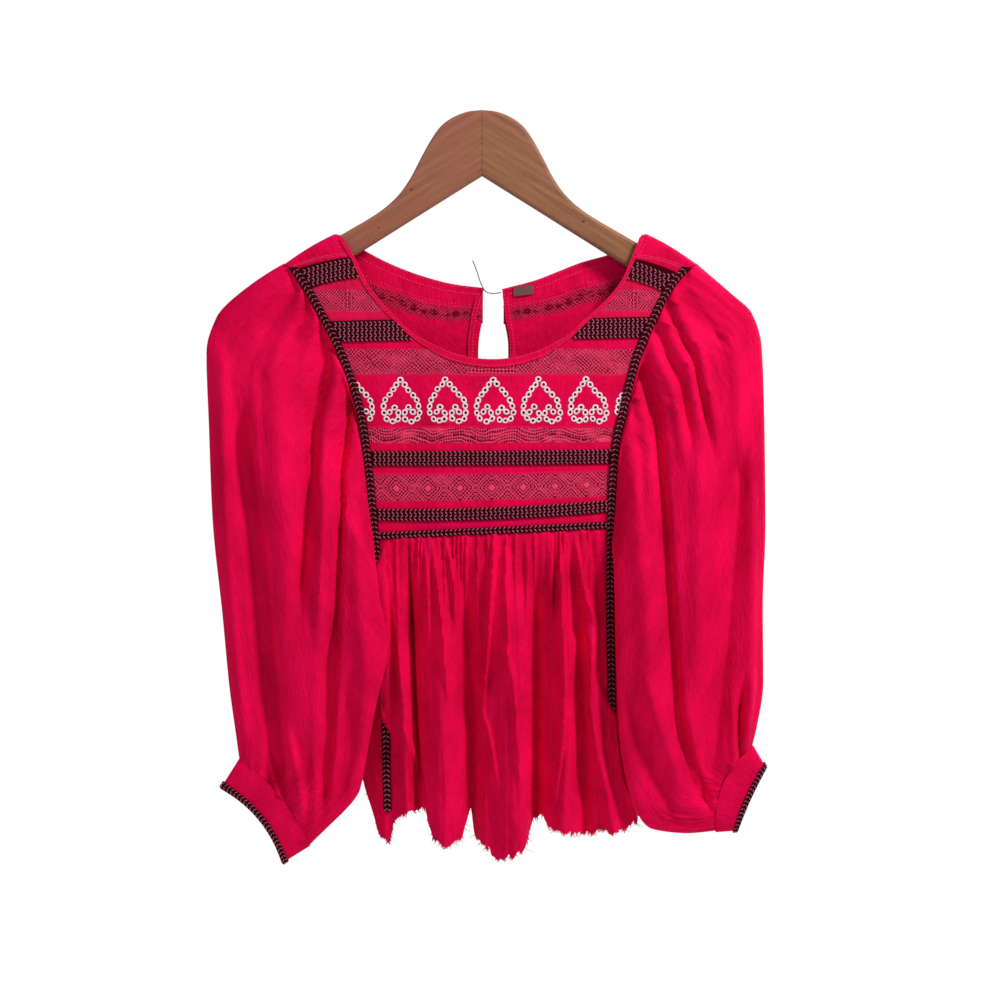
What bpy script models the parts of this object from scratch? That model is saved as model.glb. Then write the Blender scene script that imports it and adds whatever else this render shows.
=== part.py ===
"""Peasant blouse with bishop sleeves, hanging on a wooden hanger.

Blender 4.5 script: run it with blender --background --python part.py.
X runs to the right, the front faces -Y, Z is up. The origin is the top of the hanger's head.
Tables and named sizes are in millimetres, and become metres when a mesh is made.
"""

import math

import bpy
import numpy as np

MM = 0.001

# Driving sizes, in millimetres
CLOTH = 1.2  # wall of every cloth piece
BRAID = 1.2  # wall of the woven braid
SEAM = 0.3  # gap between pieces that are sewn together
LAID_ON = CLOTH / 2 + SEAM + BRAID / 2  # from a panel's middle to the middle of what lies on it
CENTRE = 10.0  # the garment's own centre line hangs right of the hanger's
UNDERARM = -388.0
SIDE_TOP = -418.0  # top of the side panels, under the sleeves' roots
TRIM_WIDTH = 7.4
WIDE_BRAID = 18.0
NARROW_BRAID = 6.5
NECK_BINDING = 4.0
BACK_YOKE_END = -330.0
BACK_BINDING = 8.0  # from the back neckline down to the end of its binding
BACK_BAND = 18.0  # down to the end of the gathered band
BACK_LACE = 32.0  # down to the end of the lace
KEYHOLE_BINDING = 5.5
HANGER_DEPTH = 11.0
SHOULDER_TOP_DEPTH = 9.5  # half the depth of the cloth where it crosses the hanger's arm

# Middle of the trim that runs from each shoulder down to the hem.
# Columns: height, left x, right x
TRIM_LINE = (
    (-144.0, -183.0, 199.0),
    (-170.0, -165.0, 177.0),
    (-199.0, -149.0, 162.0),
    (-234.0, -132.0, 147.0),
    (-284.0, -115.5, 134.0),
    (-324.0, -109.0, 126.0),
    (-383.0, -103.0, 122.0),
    (-460.0, -96.0, 121.0),
    (-575.0, -91.0, 123.0),
    (-630.0, -90.0, 129.0),
    (-672.0, -89.0, 143.0),
    (-700.0, -89.0, 150.0),
)

# Front neckline above the front lace. Columns: height, left x, right x
FRONT_NECK = (
    (-114.0, -136.0, 152.0),
    (-139.0, -121.0, 142.0),
    (-160.0, -111.0, 133.0),
    (-178.0, -99.0, 120.0),
    (-201.0, -77.0, 95.0),
    (-213.0, -64.0, 82.0),
    (-226.5, -38.0, 58.0),
)
NECK_DIP_HEIGHT = -237.0  # lowest point of the front neckline, at the centre
NECK_DIP_REACH = 48.0  # half the width of the dip below the last row above

# Back neckline from the keyhole out to the shoulder. Columns: left x, left z, right x, right z
BACK_NECK = (
    (2.0, -168.0, 19.0, -169.0),
    (-26.0, -164.5, 51.0, -160.5),
    (-53.0, -157.8, 73.0, -152.0),
    (-81.0, -147.8, 95.0, -143.5),
    (-109.0, -134.0, 120.0, -136.5),
    (-129.5, -121.0, 144.5, -126.5),
)
# Edges of the keyhole slit at the back. Columns: height, left x, right x
KEYHOLE = (
    (-168.0, 2.0, 19.0),
    (-196.0, -5.0, 22.0),
    (-223.0, -8.0, 26.0),
    (-255.0, -6.0, 25.0),
    (-282.0, 6.0, 14.0),
    (-290.0, 9.8, 10.2),
    (-330.0, 9.8, 10.2),
)

# Depth of the middle of the front and of the back. Columns: height, front y, back y
DEPTHS = (
    (-110.0, -9.5, 9.5),
    (-155.0, -11.0, 10.5),
    (-250.0, -13.5, 12.5),
    (-400.0, -16.5, 14.5),
    (-700.0, -19.0, 18.0),
)

# Seams between the strips of the front yoke. Columns: height at the left, centre and right
UNDER_BRAID_1 = (-160.0, -148.0, -164.0)
UNDER_BRAID_2 = (-210.0, -208.0, -206.0)
LACE_TOP = (-226.5, -226.5, -226.5)
EMBROIDERY_TOP = (-253.0, -253.0, -253.0)
EMBROIDERY_END = (-300.0, -300.0, -300.0)
NARROW_LACE_END = (-316.0, -316.0, -315.0)
UNDER_BRAID_3 = (-331.0, -330.5, -329.0)
DIAMONDS_TOP = (-344.0, -344.0, -341.0)
DIAMONDS_END = (-371.0, -370.0, -366.0)
UNDER_BRAID_4 = (-384.0, -383.0, -376.0)
UNDER_BRAID_5 = (-404.0, -399.0, -394.0)

# Strips across the whole front. Columns: name, top seam, bottom seam, material, rows of points
FRONT_STRIPS = (
    ("embroidered_panel", EMBROIDERY_TOP, EMBROIDERY_END, "cloth", 4),
    ("narrow_lace", EMBROIDERY_END, NARROW_LACE_END, "lace", 2),
    ("plain_strip_1", NARROW_LACE_END, UNDER_BRAID_3, "cloth", 2),
    ("plain_strip_2", UNDER_BRAID_3, DIAMONDS_TOP, "cloth", 2),
    ("diamond_lace", DIAMONDS_TOP, DIAMONDS_END, "lace", 3),
    ("plain_strip_3", DIAMONDS_END, UNDER_BRAID_4, "cloth", 2),
    ("plain_strip_4", UNDER_BRAID_4, UNDER_BRAID_5, "cloth", 2),
)
# Braids across the whole front. Columns: name, middle, height
FRONT_BRAIDS = (
    ("braid_3", UNDER_BRAID_3, 13.0),
    ("braid_4", UNDER_BRAID_4, 11.0),
    ("braid_5", UNDER_BRAID_5, NARROW_BRAID),
)

# Frayed hem of the front. Columns: x, height
FRONT_HEM = (
    (-95.0, -692.0),
    (-88.0, -690.0),
    (-80.0, -672.0),
    (-64.0, -659.0),
    (-53.0, -663.0),
    (-47.0, -685.0),
    (-30.0, -694.0),
    (-18.0, -678.0),
    (-9.0, -661.0),
    (-3.0, -676.0),
    (4.0, -696.0),
    (20.0, -706.0),
    (38.0, -698.0),
    (47.0, -672.0),
    (54.0, -668.0),
    (73.0, -683.0),
    (100.0, -683.0),
    (128.0, -681.0),
    (150.0, -670.0),
)
# Largest folds of the front skirt. Columns: x at the top, x half way, x at the hem, half width,
# height of the ridge (less than 0 is a trough)
SKIRT_FOLDS = (
    (-86.0, -78.0, -70.0, 8.0, 5.0),
    (-68.0, -65.0, -61.0, 5.0, -6.0),
    (-42.0, -37.0, -34.0, 13.0, 6.0),
    (-19.0, -12.0, -9.0, 7.0, -9.0),
    (22.0, 28.0, 34.0, 17.0, 8.0),
    (50.0, 51.0, 50.0, 6.0, -9.0),
    (76.0, 79.0, 74.0, 9.0, 5.0),
    (91.0, 93.0, 98.0, 6.0, -5.0),
    (103.0, 106.0, 128.0, 8.0, 6.0),
)
# Folds of the back skirt, with the same columns
BACK_FOLDS = (
    (-70.0, -72.0, -76.0, 14.0, 6.0),
    (-38.0, -38.0, -36.0, 11.0, -6.0),
    (-2.0, -4.0, -6.0, 16.0, 7.0),
    (34.0, 36.0, 40.0, 11.0, -6.0),
    (70.0, 74.0, 80.0, 16.0, 6.0),
)

# The side panels wrap round from the front to the back.
SIDE_REACH = 158.0  # how far each one stands out from the garment's centre line
SIDE_OPEN = 60.0  # height in which it reaches that width
SIDE_HEM_RISE = 105.0  # the shirt-tail hem rises towards the side

# Left sleeve. Columns: share of the way down, outer x and z, inner x and z, outer and inner y,
# depth in front, depth behind, bow of the ring towards the garment's centre
LEFT_SLEEVE = (
    (0.00, -184.0, -145.0, -107.8, -388.0, 0.0, -1.0, 12.0, 12.0, 0.0),
    (0.05, -211.0, -159.0, -110.5, -396.0, 0.0, -5.0, 14.0, 18.0, 16.0),
    (0.10, -234.0, -177.0, -110.5, -406.0, 0.0, -12.0, 16.0, 18.0, 13.0),
    (0.16, -252.0, -198.0, -108.0, -417.0, -2.0, -22.0, 17.0, 17.0, 9.0),
    (0.24, -260.0, -230.0, -103.0, -434.0, -11.0, -33.0, 17.0, 14.0, 5.0),
    (0.36, -257.0, -300.0, -96.0, -464.0, -18.0, -36.0, 17.0, 14.0, 0.0),
    (0.50, -253.0, -390.0, -88.0, -508.0, -22.0, -37.0, 17.0, 14.0, 0.0),
    (0.64, -244.0, -476.0, -99.0, -560.0, -22.0, -35.0, 17.0, 14.0, 0.0),
    (0.78, -237.0, -548.0, -107.0, -602.0, -22.0, -32.0, 16.0, 13.0, 0.0),
    (0.90, -231.0, -590.0, -115.0, -642.0, -24.0, -28.0, 13.0, 11.0, 0.0),
    (1.00, -227.5, -614.0, -162.0, -694.0, -26.0, -26.0, 9.0, 9.0, 8.0),
)
# Right sleeve, with the same columns
RIGHT_SLEEVE = (
    (0.00, 200.0, -146.0, 126.8, -388.0, 0.0, -1.0, 12.0, 12.0, 0.0),
    (0.05, 220.0, -161.0, 129.5, -396.0, 0.0, -5.0, 14.0, 18.0, 16.0),
    (0.10, 238.0, -176.0, 130.0, -406.0, 0.0, -12.0, 16.0, 18.0, 13.0),
    (0.16, 256.0, -194.0, 129.0, -417.0, -2.0, -22.0, 17.0, 17.0, 9.0),
    (0.24, 264.0, -226.0, 128.0, -436.0, -11.0, -32.0, 17.0, 14.0, 5.0),
    (0.36, 266.0, -306.0, 128.0, -474.0, -18.0, -34.0, 17.0, 14.0, 0.0),
    (0.50, 266.5, -392.0, 129.0, -524.0, -22.0, -35.0, 17.0, 14.0, 0.0),
    (0.64, 264.0, -470.0, 130.0, -580.0, -22.0, -34.0, 17.0, 14.0, 0.0),
    (0.78, 264.5, -540.0, 136.0, -632.0, -22.0, -31.0, 16.0, 13.0, 0.0),
    (0.90, 258.5, -582.0, 158.0, -678.0, -24.0, -27.0, 13.0, 11.0, 0.0),
    (0.95, 255.5, -594.0, 192.0, -683.0, -25.0, -26.0, 12.0, 10.0, 4.0),
    (1.00, 253.6, -601.8, 219.4, -680.8, -26.0, -26.0, 9.0, 9.0, 12.0),
)
# Folds along a sleeve. Columns: share of the way across at the top and at the bottom (0 is the
# outer edge), where it starts and ends on the way down, half width, height of the ridge
LEFT_SLEEVE_FOLDS = (
    (0.10, 0.13, 0.10, 0.95, 0.07, 4.0),
    (0.16, 0.27, 0.12, 1.00, 0.06, -7.0),
    (0.42, 0.48, 0.05, 0.90, 0.14, 4.0),
    (0.62, 0.52, 0.06, 0.60, 0.06, -5.0),
    (0.72, 0.68, 0.10, 0.95, 0.06, 4.0),
    (0.80, 0.76, 0.12, 1.00, 0.05, -8.0),
)
RIGHT_SLEEVE_FOLDS = (
    (0.08, 0.10, 0.15, 0.95, 0.07, 3.0),
    (0.34, 0.40, 0.20, 0.95, 0.10, -6.0),
    (0.52, 0.60, 0.05, 0.90, 0.09, 4.0),
    (0.74, 0.62, 0.10, 1.00, 0.05, -8.0),
    (0.88, 0.84, 0.12, 0.90, 0.09, 4.0),
)

# Cuffs. Columns: share of the way from the seam to the hem, outer x and z, inner x and z, and
# how far the ring bows up
LEFT_CUFF = (
    (0.0, -228.0, -615.0, -163.0, -695.0, 8.0),
    (1.0, -245.0, -642.0, -188.5, -711.0, 10.0),
)
RIGHT_CUFF = (
    (0.0, 255.0, -602.6, 221.0, -681.5, 12.0),
    (1.0, 267.0, -623.0, 241.0, -680.0, 2.0),
)
SLEEVE_HEAD = 0.12  # share of the way down in which the armhole's shape fades out
CUFF_DEPTH = 9.0  # half the depth of the flattened ring
CUFF_Y = -26.0
CUFF_BRAID_SHARE = 0.2  # of the cuff's height

# Outline of one half of the hanger, round from the top of its head. Columns: x, height
HANGER_TOP = (
    (0.0, 0.0),
    (12.0, -1.2),
    (24.0, -5.2),
    (34.0, -11.0),
    (41.0, -17.5),
    (50.0, -31.0),
    (59.0, -47.5),
    (67.5, -64.0),
    (79.0, -80.5),
    (97.0, -96.5),
    (130.0, -116.4),
    (150.0, -128.0),
    (170.0, -140.2),
    (202.0, -163.0),
)
HANGER_END = ((211.0, -174.0), (213.0, -181.0), (208.0, -186.5), (199.0, -186.0))
HANGER_UNDERSIDE = ((160.0, -163.0), (114.0, -134.0), (60.0, -100.0), (0.0, -62.5))
HANGER_EDGE = 3.0  # rounding of its edges

LABEL_WIDTH = 19.0
LABEL_HEIGHT = 9.0
LABEL_MIDDLE = (39.5, -170.5)
THREAD = 0.9

# Columns: colour as red, green, blue, roughness
FINISHES = {
    "cloth": ((0.62, 0.006, 0.055), 0.75),
    "lace": ((0.55, 0.012, 0.060), 0.80),
    "braid": ((0.020, 0.004, 0.010), 0.65),
    "wood": ((0.20, 0.085, 0.045), 0.45),
    "label": ((0.16, 0.10, 0.08), 0.70),
    "thread": ((0.12, 0.05, 0.05), 0.70),
}


# ---------------------------------------------------------------------------
# Curves through the tables
# ---------------------------------------------------------------------------


def smooth(rows, column, at):
    """A table's column at the given places of its first column, as a curve without overshoot."""
    rows = np.array(sorted(rows), float)
    x = rows[:, 0]
    y = rows[:, column]
    step = np.diff(x)
    slope = np.diff(y) / step
    tangent = np.zeros(len(x))
    tangent[0] = slope[0]
    tangent[-1] = slope[-1]
    same_way = slope[1:] * slope[:-1] > 0
    inner = np.zeros(len(slope) - 1)
    inner[same_way] = 2 / (1 / slope[:-1][same_way] + 1 / slope[1:][same_way])
    tangent[1:-1] = inner
    at = np.clip(np.asarray(at, float), x[0], x[-1])
    k = np.clip(np.searchsorted(x, at, side="right") - 1, 0, len(step) - 1)
    f = (at - x[k]) / step[k]
    return (
        y[k] * (1 + 2 * f) * (1 - f) ** 2
        + tangent[k] * step[k] * f * (1 - f) ** 2
        + y[k + 1] * f * f * (3 - 2 * f)
        + tangent[k + 1] * step[k] * f * f * (f - 1)
    )


def ease(value):
    """0 to 1, with level ends."""
    value = np.clip(value, 0, 1)
    return value * value * (3 - 2 * value)


def across(seam, share):
    """Height of a seam at a share of the way from left to right."""
    left, middle, right = seam
    share = np.asarray(share, float)
    return (
        left * (1 - share) * (1 - 2 * share)
        + middle * 4 * share * (1 - share)
        + right * share * (2 * share - 1)
    )


def stretch(rows, column, z):
    """Length along a table's line for each millimetre of height."""
    change = smooth(rows, column, z + 1) - smooth(rows, column, z - 1)
    return np.sqrt(1 + (change / 2) ** 2)


def trim_edge(side, z, outward):
    """x of an edge of the trim: outward is 1 for the edge at the sleeve, -1 for the other."""
    column = 1 if side < 0 else 2
    half = TRIM_WIDTH / 2 * stretch(TRIM_LINE, column, z)
    return smooth(TRIM_LINE, column, z) + side * outward * half


def neck_x(side, z):
    return smooth(FRONT_NECK, 1 if side < 0 else 2, z)


def braid_end_x(side, z):
    """x at which a braid stops short of the neck binding."""
    column = 1 if side < 0 else 2
    return neck_x(side, z) + side * (NECK_BINDING + SEAM) * stretch(FRONT_NECK, column, z)


# ---------------------------------------------------------------------------
# The front's and the back's surfaces
# ---------------------------------------------------------------------------


def turn(x, z):
    """0 in the middle of the body, 1 at the trims."""
    left = smooth(TRIM_LINE, 1, z)
    right = smooth(TRIM_LINE, 2, z)
    return np.clip(np.abs(2 * (x - left) / (right - left) - 1), 0, 1.2)


def turned_back(z):
    """How far the sides of the front and the back lean towards each other at a height."""
    return 0.8 + 2.7 * ease((-150.0 - z) / 200.0)


def folds(rows, x, z, top, hem):
    """How far a table's folds stand out at each point, growing from the gathered top."""
    down = np.clip((top - z) / (top - hem), 0, 1)
    out = np.zeros(np.shape(x))
    for at_top, half_way, at_hem, width, height in rows:
        middle = (
            at_top * (1 - down) * (1 - 2 * down)
            + half_way * 4 * down * (1 - down)
            + at_hem * down * (2 * down - 1)
        )
        out = out + height * np.exp(-(((x - middle) / width) ** 2))
    return out * ease(down * 3) * (0.7 + 0.5 * down)


def front(xz):
    """Points of the front yoke's middle surface over (x, z)."""
    x = xz[..., 0]
    z = xz[..., 1]
    y = smooth(DEPTHS, 1, z) + turned_back(z) * turn(x, z) ** 4
    return np.stack([x, y, z], -1)


def front_skirt_surface(xz):
    points = front(xz)
    at_edge = ease((1 - turn(points[..., 0], points[..., 2])) * 7 - 0.4)
    out = folds(SKIRT_FOLDS, points[..., 0], points[..., 2], -400.0, -690.0)
    points[..., 1] -= out * at_edge
    return points


def back(xz):
    """Points of the back's middle surface over (x, z)."""
    x = xz[..., 0]
    z = xz[..., 1]
    y = smooth(DEPTHS, 2, z) - turned_back(z) * turn(x, z) ** 4
    return np.stack([x, y, z], -1)


def back_skirt_surface(xz):
    points = back(xz)
    at_edge = ease((1 - turn(points[..., 0], points[..., 2])) * 7 - 0.4)
    out = folds(BACK_FOLDS, points[..., 0], points[..., 2], BACK_YOKE_END, -650.0)
    points[..., 1] += out * at_edge
    return points


def lifted(surface, distance):
    """The same surface, moved out towards the viewer of the front."""

    def moved(xz):
        points = surface(xz)
        points[..., 1] -= distance
        return points

    return moved


# ---------------------------------------------------------------------------
# Meshes
# ---------------------------------------------------------------------------


def clear_scene():
    for obj in list(bpy.data.objects):
        bpy.data.objects.remove(obj, do_unlink=True)


def material(name):
    found = bpy.data.materials.get(name)
    if found:
        return found
    colour, roughness = FINISHES[name]
    made = bpy.data.materials.new(name)
    made.use_nodes = True
    shader = made.node_tree.nodes["Principled BSDF"]
    shader.inputs["Base Color"].default_value = (*colour, 1)
    shader.inputs["Roughness"].default_value = roughness
    shader.inputs["Metallic"].default_value = 0
    return made


def make_object(name, points, faces, finish):
    """An object of points in millimetres, its faces turned outward."""
    points = np.asarray(points, float)
    volume = 0.0
    for face in faces:
        for k in range(1, len(face) - 1):
            a, b, c = points[face[0]], points[face[k]], points[face[k + 1]]
            volume += np.dot(a, np.cross(b, c))
    if volume < 0:
        faces = [face[::-1] for face in faces]
    mesh = bpy.data.meshes.new(name)
    mesh.from_pydata((points * MM).tolist(), [], faces)
    mesh.shade_smooth()
    mesh.set_sharp_from_angle(angle=math.radians(50))
    mesh.materials.append(material(finish))
    obj = bpy.data.objects.new(name, mesh)
    bpy.context.scene.collection.objects.link(obj)
    return obj


def grid_normals(grid, closed_round):
    """Unit normals of a grid of points, whose columns may run all the way round."""
    if closed_round:
        along = np.roll(grid, -1, 1) - np.roll(grid, 1, 1)
    else:
        along = np.gradient(grid, axis=1)
    down = np.gradient(grid, axis=0)
    normal = np.cross(along, down)
    return normal / np.linalg.norm(normal, axis=2, keepdims=True)


def wall(name, grid, finish, thickness=CLOTH, closed_round=False):
    """A wall of even thickness on a grid of middle points."""
    rows, columns = grid.shape[:2]
    shift = grid_normals(grid, closed_round) * thickness / 2
    points = np.concatenate([(grid + shift).reshape(-1, 3), (grid - shift).reshape(-1, 3)])
    size = rows * columns
    last = columns if closed_round else columns - 1
    faces = []
    for i in range(rows - 1):
        for j in range(last):
            k = (j + 1) % columns
            a, b = i * columns + j, i * columns + k
            d, c = a + columns, b + columns
            # Both sides are cut along the same diagonal, so a bent face stays one wall thick.
            faces.extend([[a, b, c], [a, c, d]])
            faces.extend([[c + size, b + size, a + size], [d + size, c + size, a + size]])
    for j in range(last):
        k = (j + 1) % columns
        faces.append([j, j + size, k + size, k])
        low = (rows - 1) * columns
        faces.append([low + k, low + k + size, low + j + size, low + j])
    if not closed_round:
        for i in range(rows - 1):
            a, b = i * columns, (i + 1) * columns
            faces.append([a, b, b + size, a + size])
            a, b = a + columns - 1, b + columns - 1
            faces.append([b, a, a + size, b + size])
    return make_object(name, points, faces, finish)


def between(top, bottom, left, right):
    """A grid of (x, z) points that fills the space between four edges."""
    u = np.linspace(0, 1, len(top))[None, :, None]
    v = np.linspace(0, 1, len(left))[:, None, None]
    ruled = (1 - v) * top[None] + v * bottom[None]
    left_bend = left[:, None] - ((1 - v) * left[0] + v * left[-1])
    right_bend = right[:, None] - ((1 - v) * right[0] + v * right[-1])
    return ruled + (1 - u) * left_bend + u * right_bend


def edge_points(x_of_z, top, bottom, rows):
    z = np.linspace(top, bottom, rows)
    return np.stack([x_of_z(z), z], -1)


def strip_grid(top_of, bottom_of, left_of, right_of, columns, rows):
    """(x, z) grid of a strip. The first two give the height at a share of the way across, and
    the last two give x at a height."""
    left = edge_points(left_of, float(top_of(0.0)), float(bottom_of(0.0)), rows)
    right = edge_points(right_of, float(top_of(1.0)), float(bottom_of(1.0)), rows)
    share = np.linspace(0, 1, columns)
    top_x = left[0, 0] + (right[0, 0] - left[0, 0]) * share
    low_x = left[-1, 0] + (right[-1, 0] - left[-1, 0]) * share
    top = np.stack([top_x, top_of(share)], -1)
    bottom = np.stack([low_x, bottom_of(share)], -1)
    return between(top, bottom, left, right)


# ---------------------------------------------------------------------------
# The front yoke
# ---------------------------------------------------------------------------


def whole_share(side, share):
    """Share of the way across the front of a place on one side's strip: 0 is at the sleeve."""
    return 0.3 * share if side < 0 else 1 - 0.3 * share


def front_strips():
    for name, top, bottom, finish, rows in FRONT_STRIPS:
        grid = strip_grid(
            lambda s, seam=top: across(seam, s) - SEAM / 2,
            lambda s, seam=bottom: across(seam, s) + SEAM / 2,
            lambda z: trim_edge(-1, z, 1),
            lambda z: trim_edge(1, z, 1),
            11,
            rows,
        )
        wall(name, front(grid), finish)


def front_lace():
    """The wide lace strip, whose top edge dips with the neckline."""

    def top(share):
        share = np.asarray(share, float)
        x = trim_edge(-1, -227.0, 1) * (1 - share) + trim_edge(1, -227.0, 1) * share
        bend = np.clip(np.abs(x - CENTRE) / NECK_DIP_REACH, 0, 1)
        return NECK_DIP_HEIGHT + (LACE_TOP[1] - SEAM / 2 - NECK_DIP_HEIGHT) * bend**2

    grid = strip_grid(
        top,
        lambda s: across(EMBROIDERY_TOP, s) + SEAM / 2,
        lambda z: trim_edge(-1, z, 1),
        lambda z: trim_edge(1, z, 1),
        17,
        3,
    )
    wall("front_lace", front(grid), "lace")


def side_strip(name, side, top, bottom, finish, columns=7, rows=4):
    """A strip between the trim and the neckline on one side."""
    grid = strip_grid(
        lambda s: across(top, whole_share(side, s)) - SEAM / 2,
        lambda s: across(bottom, whole_share(side, s)) + SEAM / 2,
        lambda z: trim_edge(side, z, 1),
        lambda z: neck_x(side, z),
        columns,
        rows,
    )
    wall(name, front(grid), finish)


def side_braid(name, side, middle):
    grid = strip_grid(
        lambda s: across(middle, whole_share(side, s)) + WIDE_BRAID / 2,
        lambda s: across(middle, whole_share(side, s)) - WIDE_BRAID / 2,
        lambda z: trim_edge(side, z, -1) - side * SEAM,
        lambda z: braid_end_x(side, z),
        7,
        4,
    )
    wall(name, lifted(front, LAID_ON)(grid), "braid", BRAID)


def front_braids():
    for name, middle, height in FRONT_BRAIDS:
        grid = strip_grid(
            lambda s, seam=middle, half=height / 2: across(seam, s) + half,
            lambda s, seam=middle, half=height / 2: across(seam, s) - half,
            lambda z: trim_edge(-1, z, -1) + SEAM,
            lambda z: trim_edge(1, z, -1) - SEAM,
            11,
            2,
        )
        wall(name, lifted(front, LAID_ON)(grid), "braid", BRAID)


def shoulder(name, side):
    """The plain strap: up the front from braid 1, over the hanger's arm and a little way down."""
    tip = np.array([trim_edge(side, -146.0, 1), -146.0])
    neck_point = np.array([neck_x(side, -116.0), -116.0])
    columns = 6
    share = np.linspace(0, 1, columns)
    ridge = tip + (neck_point - tip) * share[:, None]
    low_z = across(UNDER_BRAID_1, whole_share(side, share)) + SEAM / 2
    low_start = trim_edge(side, low_z[0], 1)
    low_x = low_start + (neck_x(side, low_z[-1]) - low_start) * share
    low = front(np.stack([low_x, low_z], -1))
    rows = [low]
    for part in (0.35, 0.7):
        xz = low[:, [0, 2]] + (ridge - low[:, [0, 2]]) * part
        rows.append(front(xz))
    for angle in (10, 50, 90, 130, 170):
        turned = math.radians(angle)
        y = -SHOULDER_TOP_DEPTH * math.cos(turned) * np.ones(columns)
        z = ridge[:, 1] - 3.0 + 3.0 * math.sin(turned)
        rows.append(np.stack([ridge[:, 0], y, z], -1))
    wall(name, np.stack(rows), "cloth")


def front_neck_binding():
    """A narrow binding laid along the front neckline, on the cloth."""
    heights = np.linspace(-121.0, LACE_TOP[1] + 1.0, 9)
    left = np.stack([neck_x(-1, heights), heights], -1)
    right = np.stack([neck_x(1, heights), heights], -1)[::-1]
    dip_x = CENTRE + NECK_DIP_REACH * np.linspace(-0.85, 0.85, 8)
    dip = (LACE_TOP[1] - NECK_DIP_HEIGHT) * ((dip_x - CENTRE) / NECK_DIP_REACH) ** 2
    line = np.concatenate([left, np.stack([dip_x, NECK_DIP_HEIGHT + dip], -1), right])
    way = np.gradient(line, axis=0)
    out = np.stack([way[:, 1], -way[:, 0]], -1)
    out = out / np.linalg.norm(out, axis=1, keepdims=True)
    grid = np.stack([line + out * 0.2, line + out * NECK_BINDING])
    wall("front_neck_binding", lifted(front, LAID_ON)(grid), "cloth")


def vertical_trim(name, side):
    """The trim from the shoulder to the hem, laid on the edge of the front."""
    hem = -664.0 if side < 0 else -668.0
    heights = np.concatenate([np.linspace(-150.0, -300.0, 9), np.linspace(-345.0, hem, 9)])
    outer = np.stack([trim_edge(side, heights, 1) - side * 0.4, heights], -1)
    inner = np.stack([trim_edge(side, heights, -1), heights], -1)
    grid = np.stack([outer, inner], 1)
    wall(name, lifted(front, LAID_ON + 0.1)(grid), "braid", BRAID)


def yoke():
    for side, label in ((-1, "left"), (1, "right")):
        shoulder("shoulder_" + label, side)
        side_strip("upper_lace_" + label, side, UNDER_BRAID_1, UNDER_BRAID_2, "lace")
        side_strip("yoke_strip_" + label, side, UNDER_BRAID_2, LACE_TOP, "cloth", 9, 3)
        side_braid("braid_1_" + label, side, UNDER_BRAID_1)
        side_braid("braid_2_" + label, side, UNDER_BRAID_2)
        vertical_trim("front_trim_" + label, side)
    front_lace()
    front_strips()
    front_braids()
    front_neck_binding()


# ---------------------------------------------------------------------------
# The body below and behind
# ---------------------------------------------------------------------------


def front_skirt():
    columns, rows = 36, 8
    share = np.linspace(0, 1, columns)
    top_z = across(UNDER_BRAID_5, share) - SEAM
    ends = (-690.0, -672.0)
    left = edge_points(lambda z: trim_edge(-1, z, 1), float(top_z[0]), ends[0], rows)
    right = edge_points(lambda z: trim_edge(1, z, 1), float(top_z[-1]), ends[1], rows)
    top = np.stack([left[0, 0] + (right[0, 0] - left[0, 0]) * share, top_z], -1)
    hem_x = left[-1, 0] + (right[-1, 0] - left[-1, 0]) * share
    hem = np.stack([hem_x, smooth(FRONT_HEM, 1, hem_x)], -1)
    hem[0, 1], hem[-1, 1] = ends
    wall("front_skirt", front_skirt_surface(between(top, hem, left, right)), "cloth")


def back_skirt():
    columns, rows = 18, 7
    share = np.linspace(0, 1, columns)
    left = edge_points(lambda z: trim_edge(-1, z, 1), BACK_YOKE_END - SEAM, -650.0, rows)
    right = edge_points(lambda z: trim_edge(1, z, 1), BACK_YOKE_END - SEAM, -648.0, rows)
    top = np.stack([np.linspace(left[0, 0], right[0, 0], columns), np.full(columns, left[0, 1])], -1)
    hem_z = -650.0 + 5.0 * np.sin(share * 5 * math.pi)
    hem_z[0], hem_z[-1] = left[-1, 1], right[-1, 1]
    hem = np.stack([np.linspace(left[-1, 0], right[-1, 0], columns), hem_z], -1)
    wall("back_skirt", back_skirt_surface(between(top, hem, left, right)), "cloth")


def side_panel(name, side):
    """One piece from the front trim round the side to the back."""
    columns, rows = 11, 7
    grid = np.zeros((rows, columns, 3))
    share = np.linspace(0, 1, columns)
    forward = np.clip(1 - 2 * share, 0, 1)
    behind = np.clip(2 * share - 1, 0, 1)
    reach_share = 1 - np.abs(2 * share - 1)
    hem_front = -690.0 if side < 0 else -670.0
    hem = hem_front + SIDE_HEM_RISE * ease(reach_share * 1.1) + (-646.0 - hem_front) * ease(behind)
    for i in range(rows):
        v = i / (rows - 1)
        z = SIDE_TOP + (hem - SIDE_TOP) * v
        seam = trim_edge(side, z, 1) + side * (SEAM + CLOTH / 2)
        open_share = ease((SIDE_TOP - z) / SIDE_OPEN) * 0.88 + 0.12
        reach = CENTRE + side * SIDE_REACH - seam
        x = seam + reach * open_share * ease(reach_share) ** 0.8
        front_y = smooth(DEPTHS, 1, z) + 3.0
        back_y = smooth(DEPTHS, 2, z) - 3.0
        front_layer = front_y + (4.0 - front_y) * ease(reach_share * 2.4)
        back_layer = back_y + (8.0 - back_y) * ease(reach_share * 1.2)
        y = np.where(share < 0.5, front_layer, back_layer)
        middle = (front_layer + back_layer) / 2
        y = np.where(np.abs(share - 0.5) < 0.01, middle, y)
        wave = 2.0 * np.sin(reach_share * 7 + v * 2) * ease(v * 2) * ease((forward + behind) * 3)
        grid[i] = np.stack([x, y + wave * (behind > 0), z], -1)
    wall(name, grid, "cloth")


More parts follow.
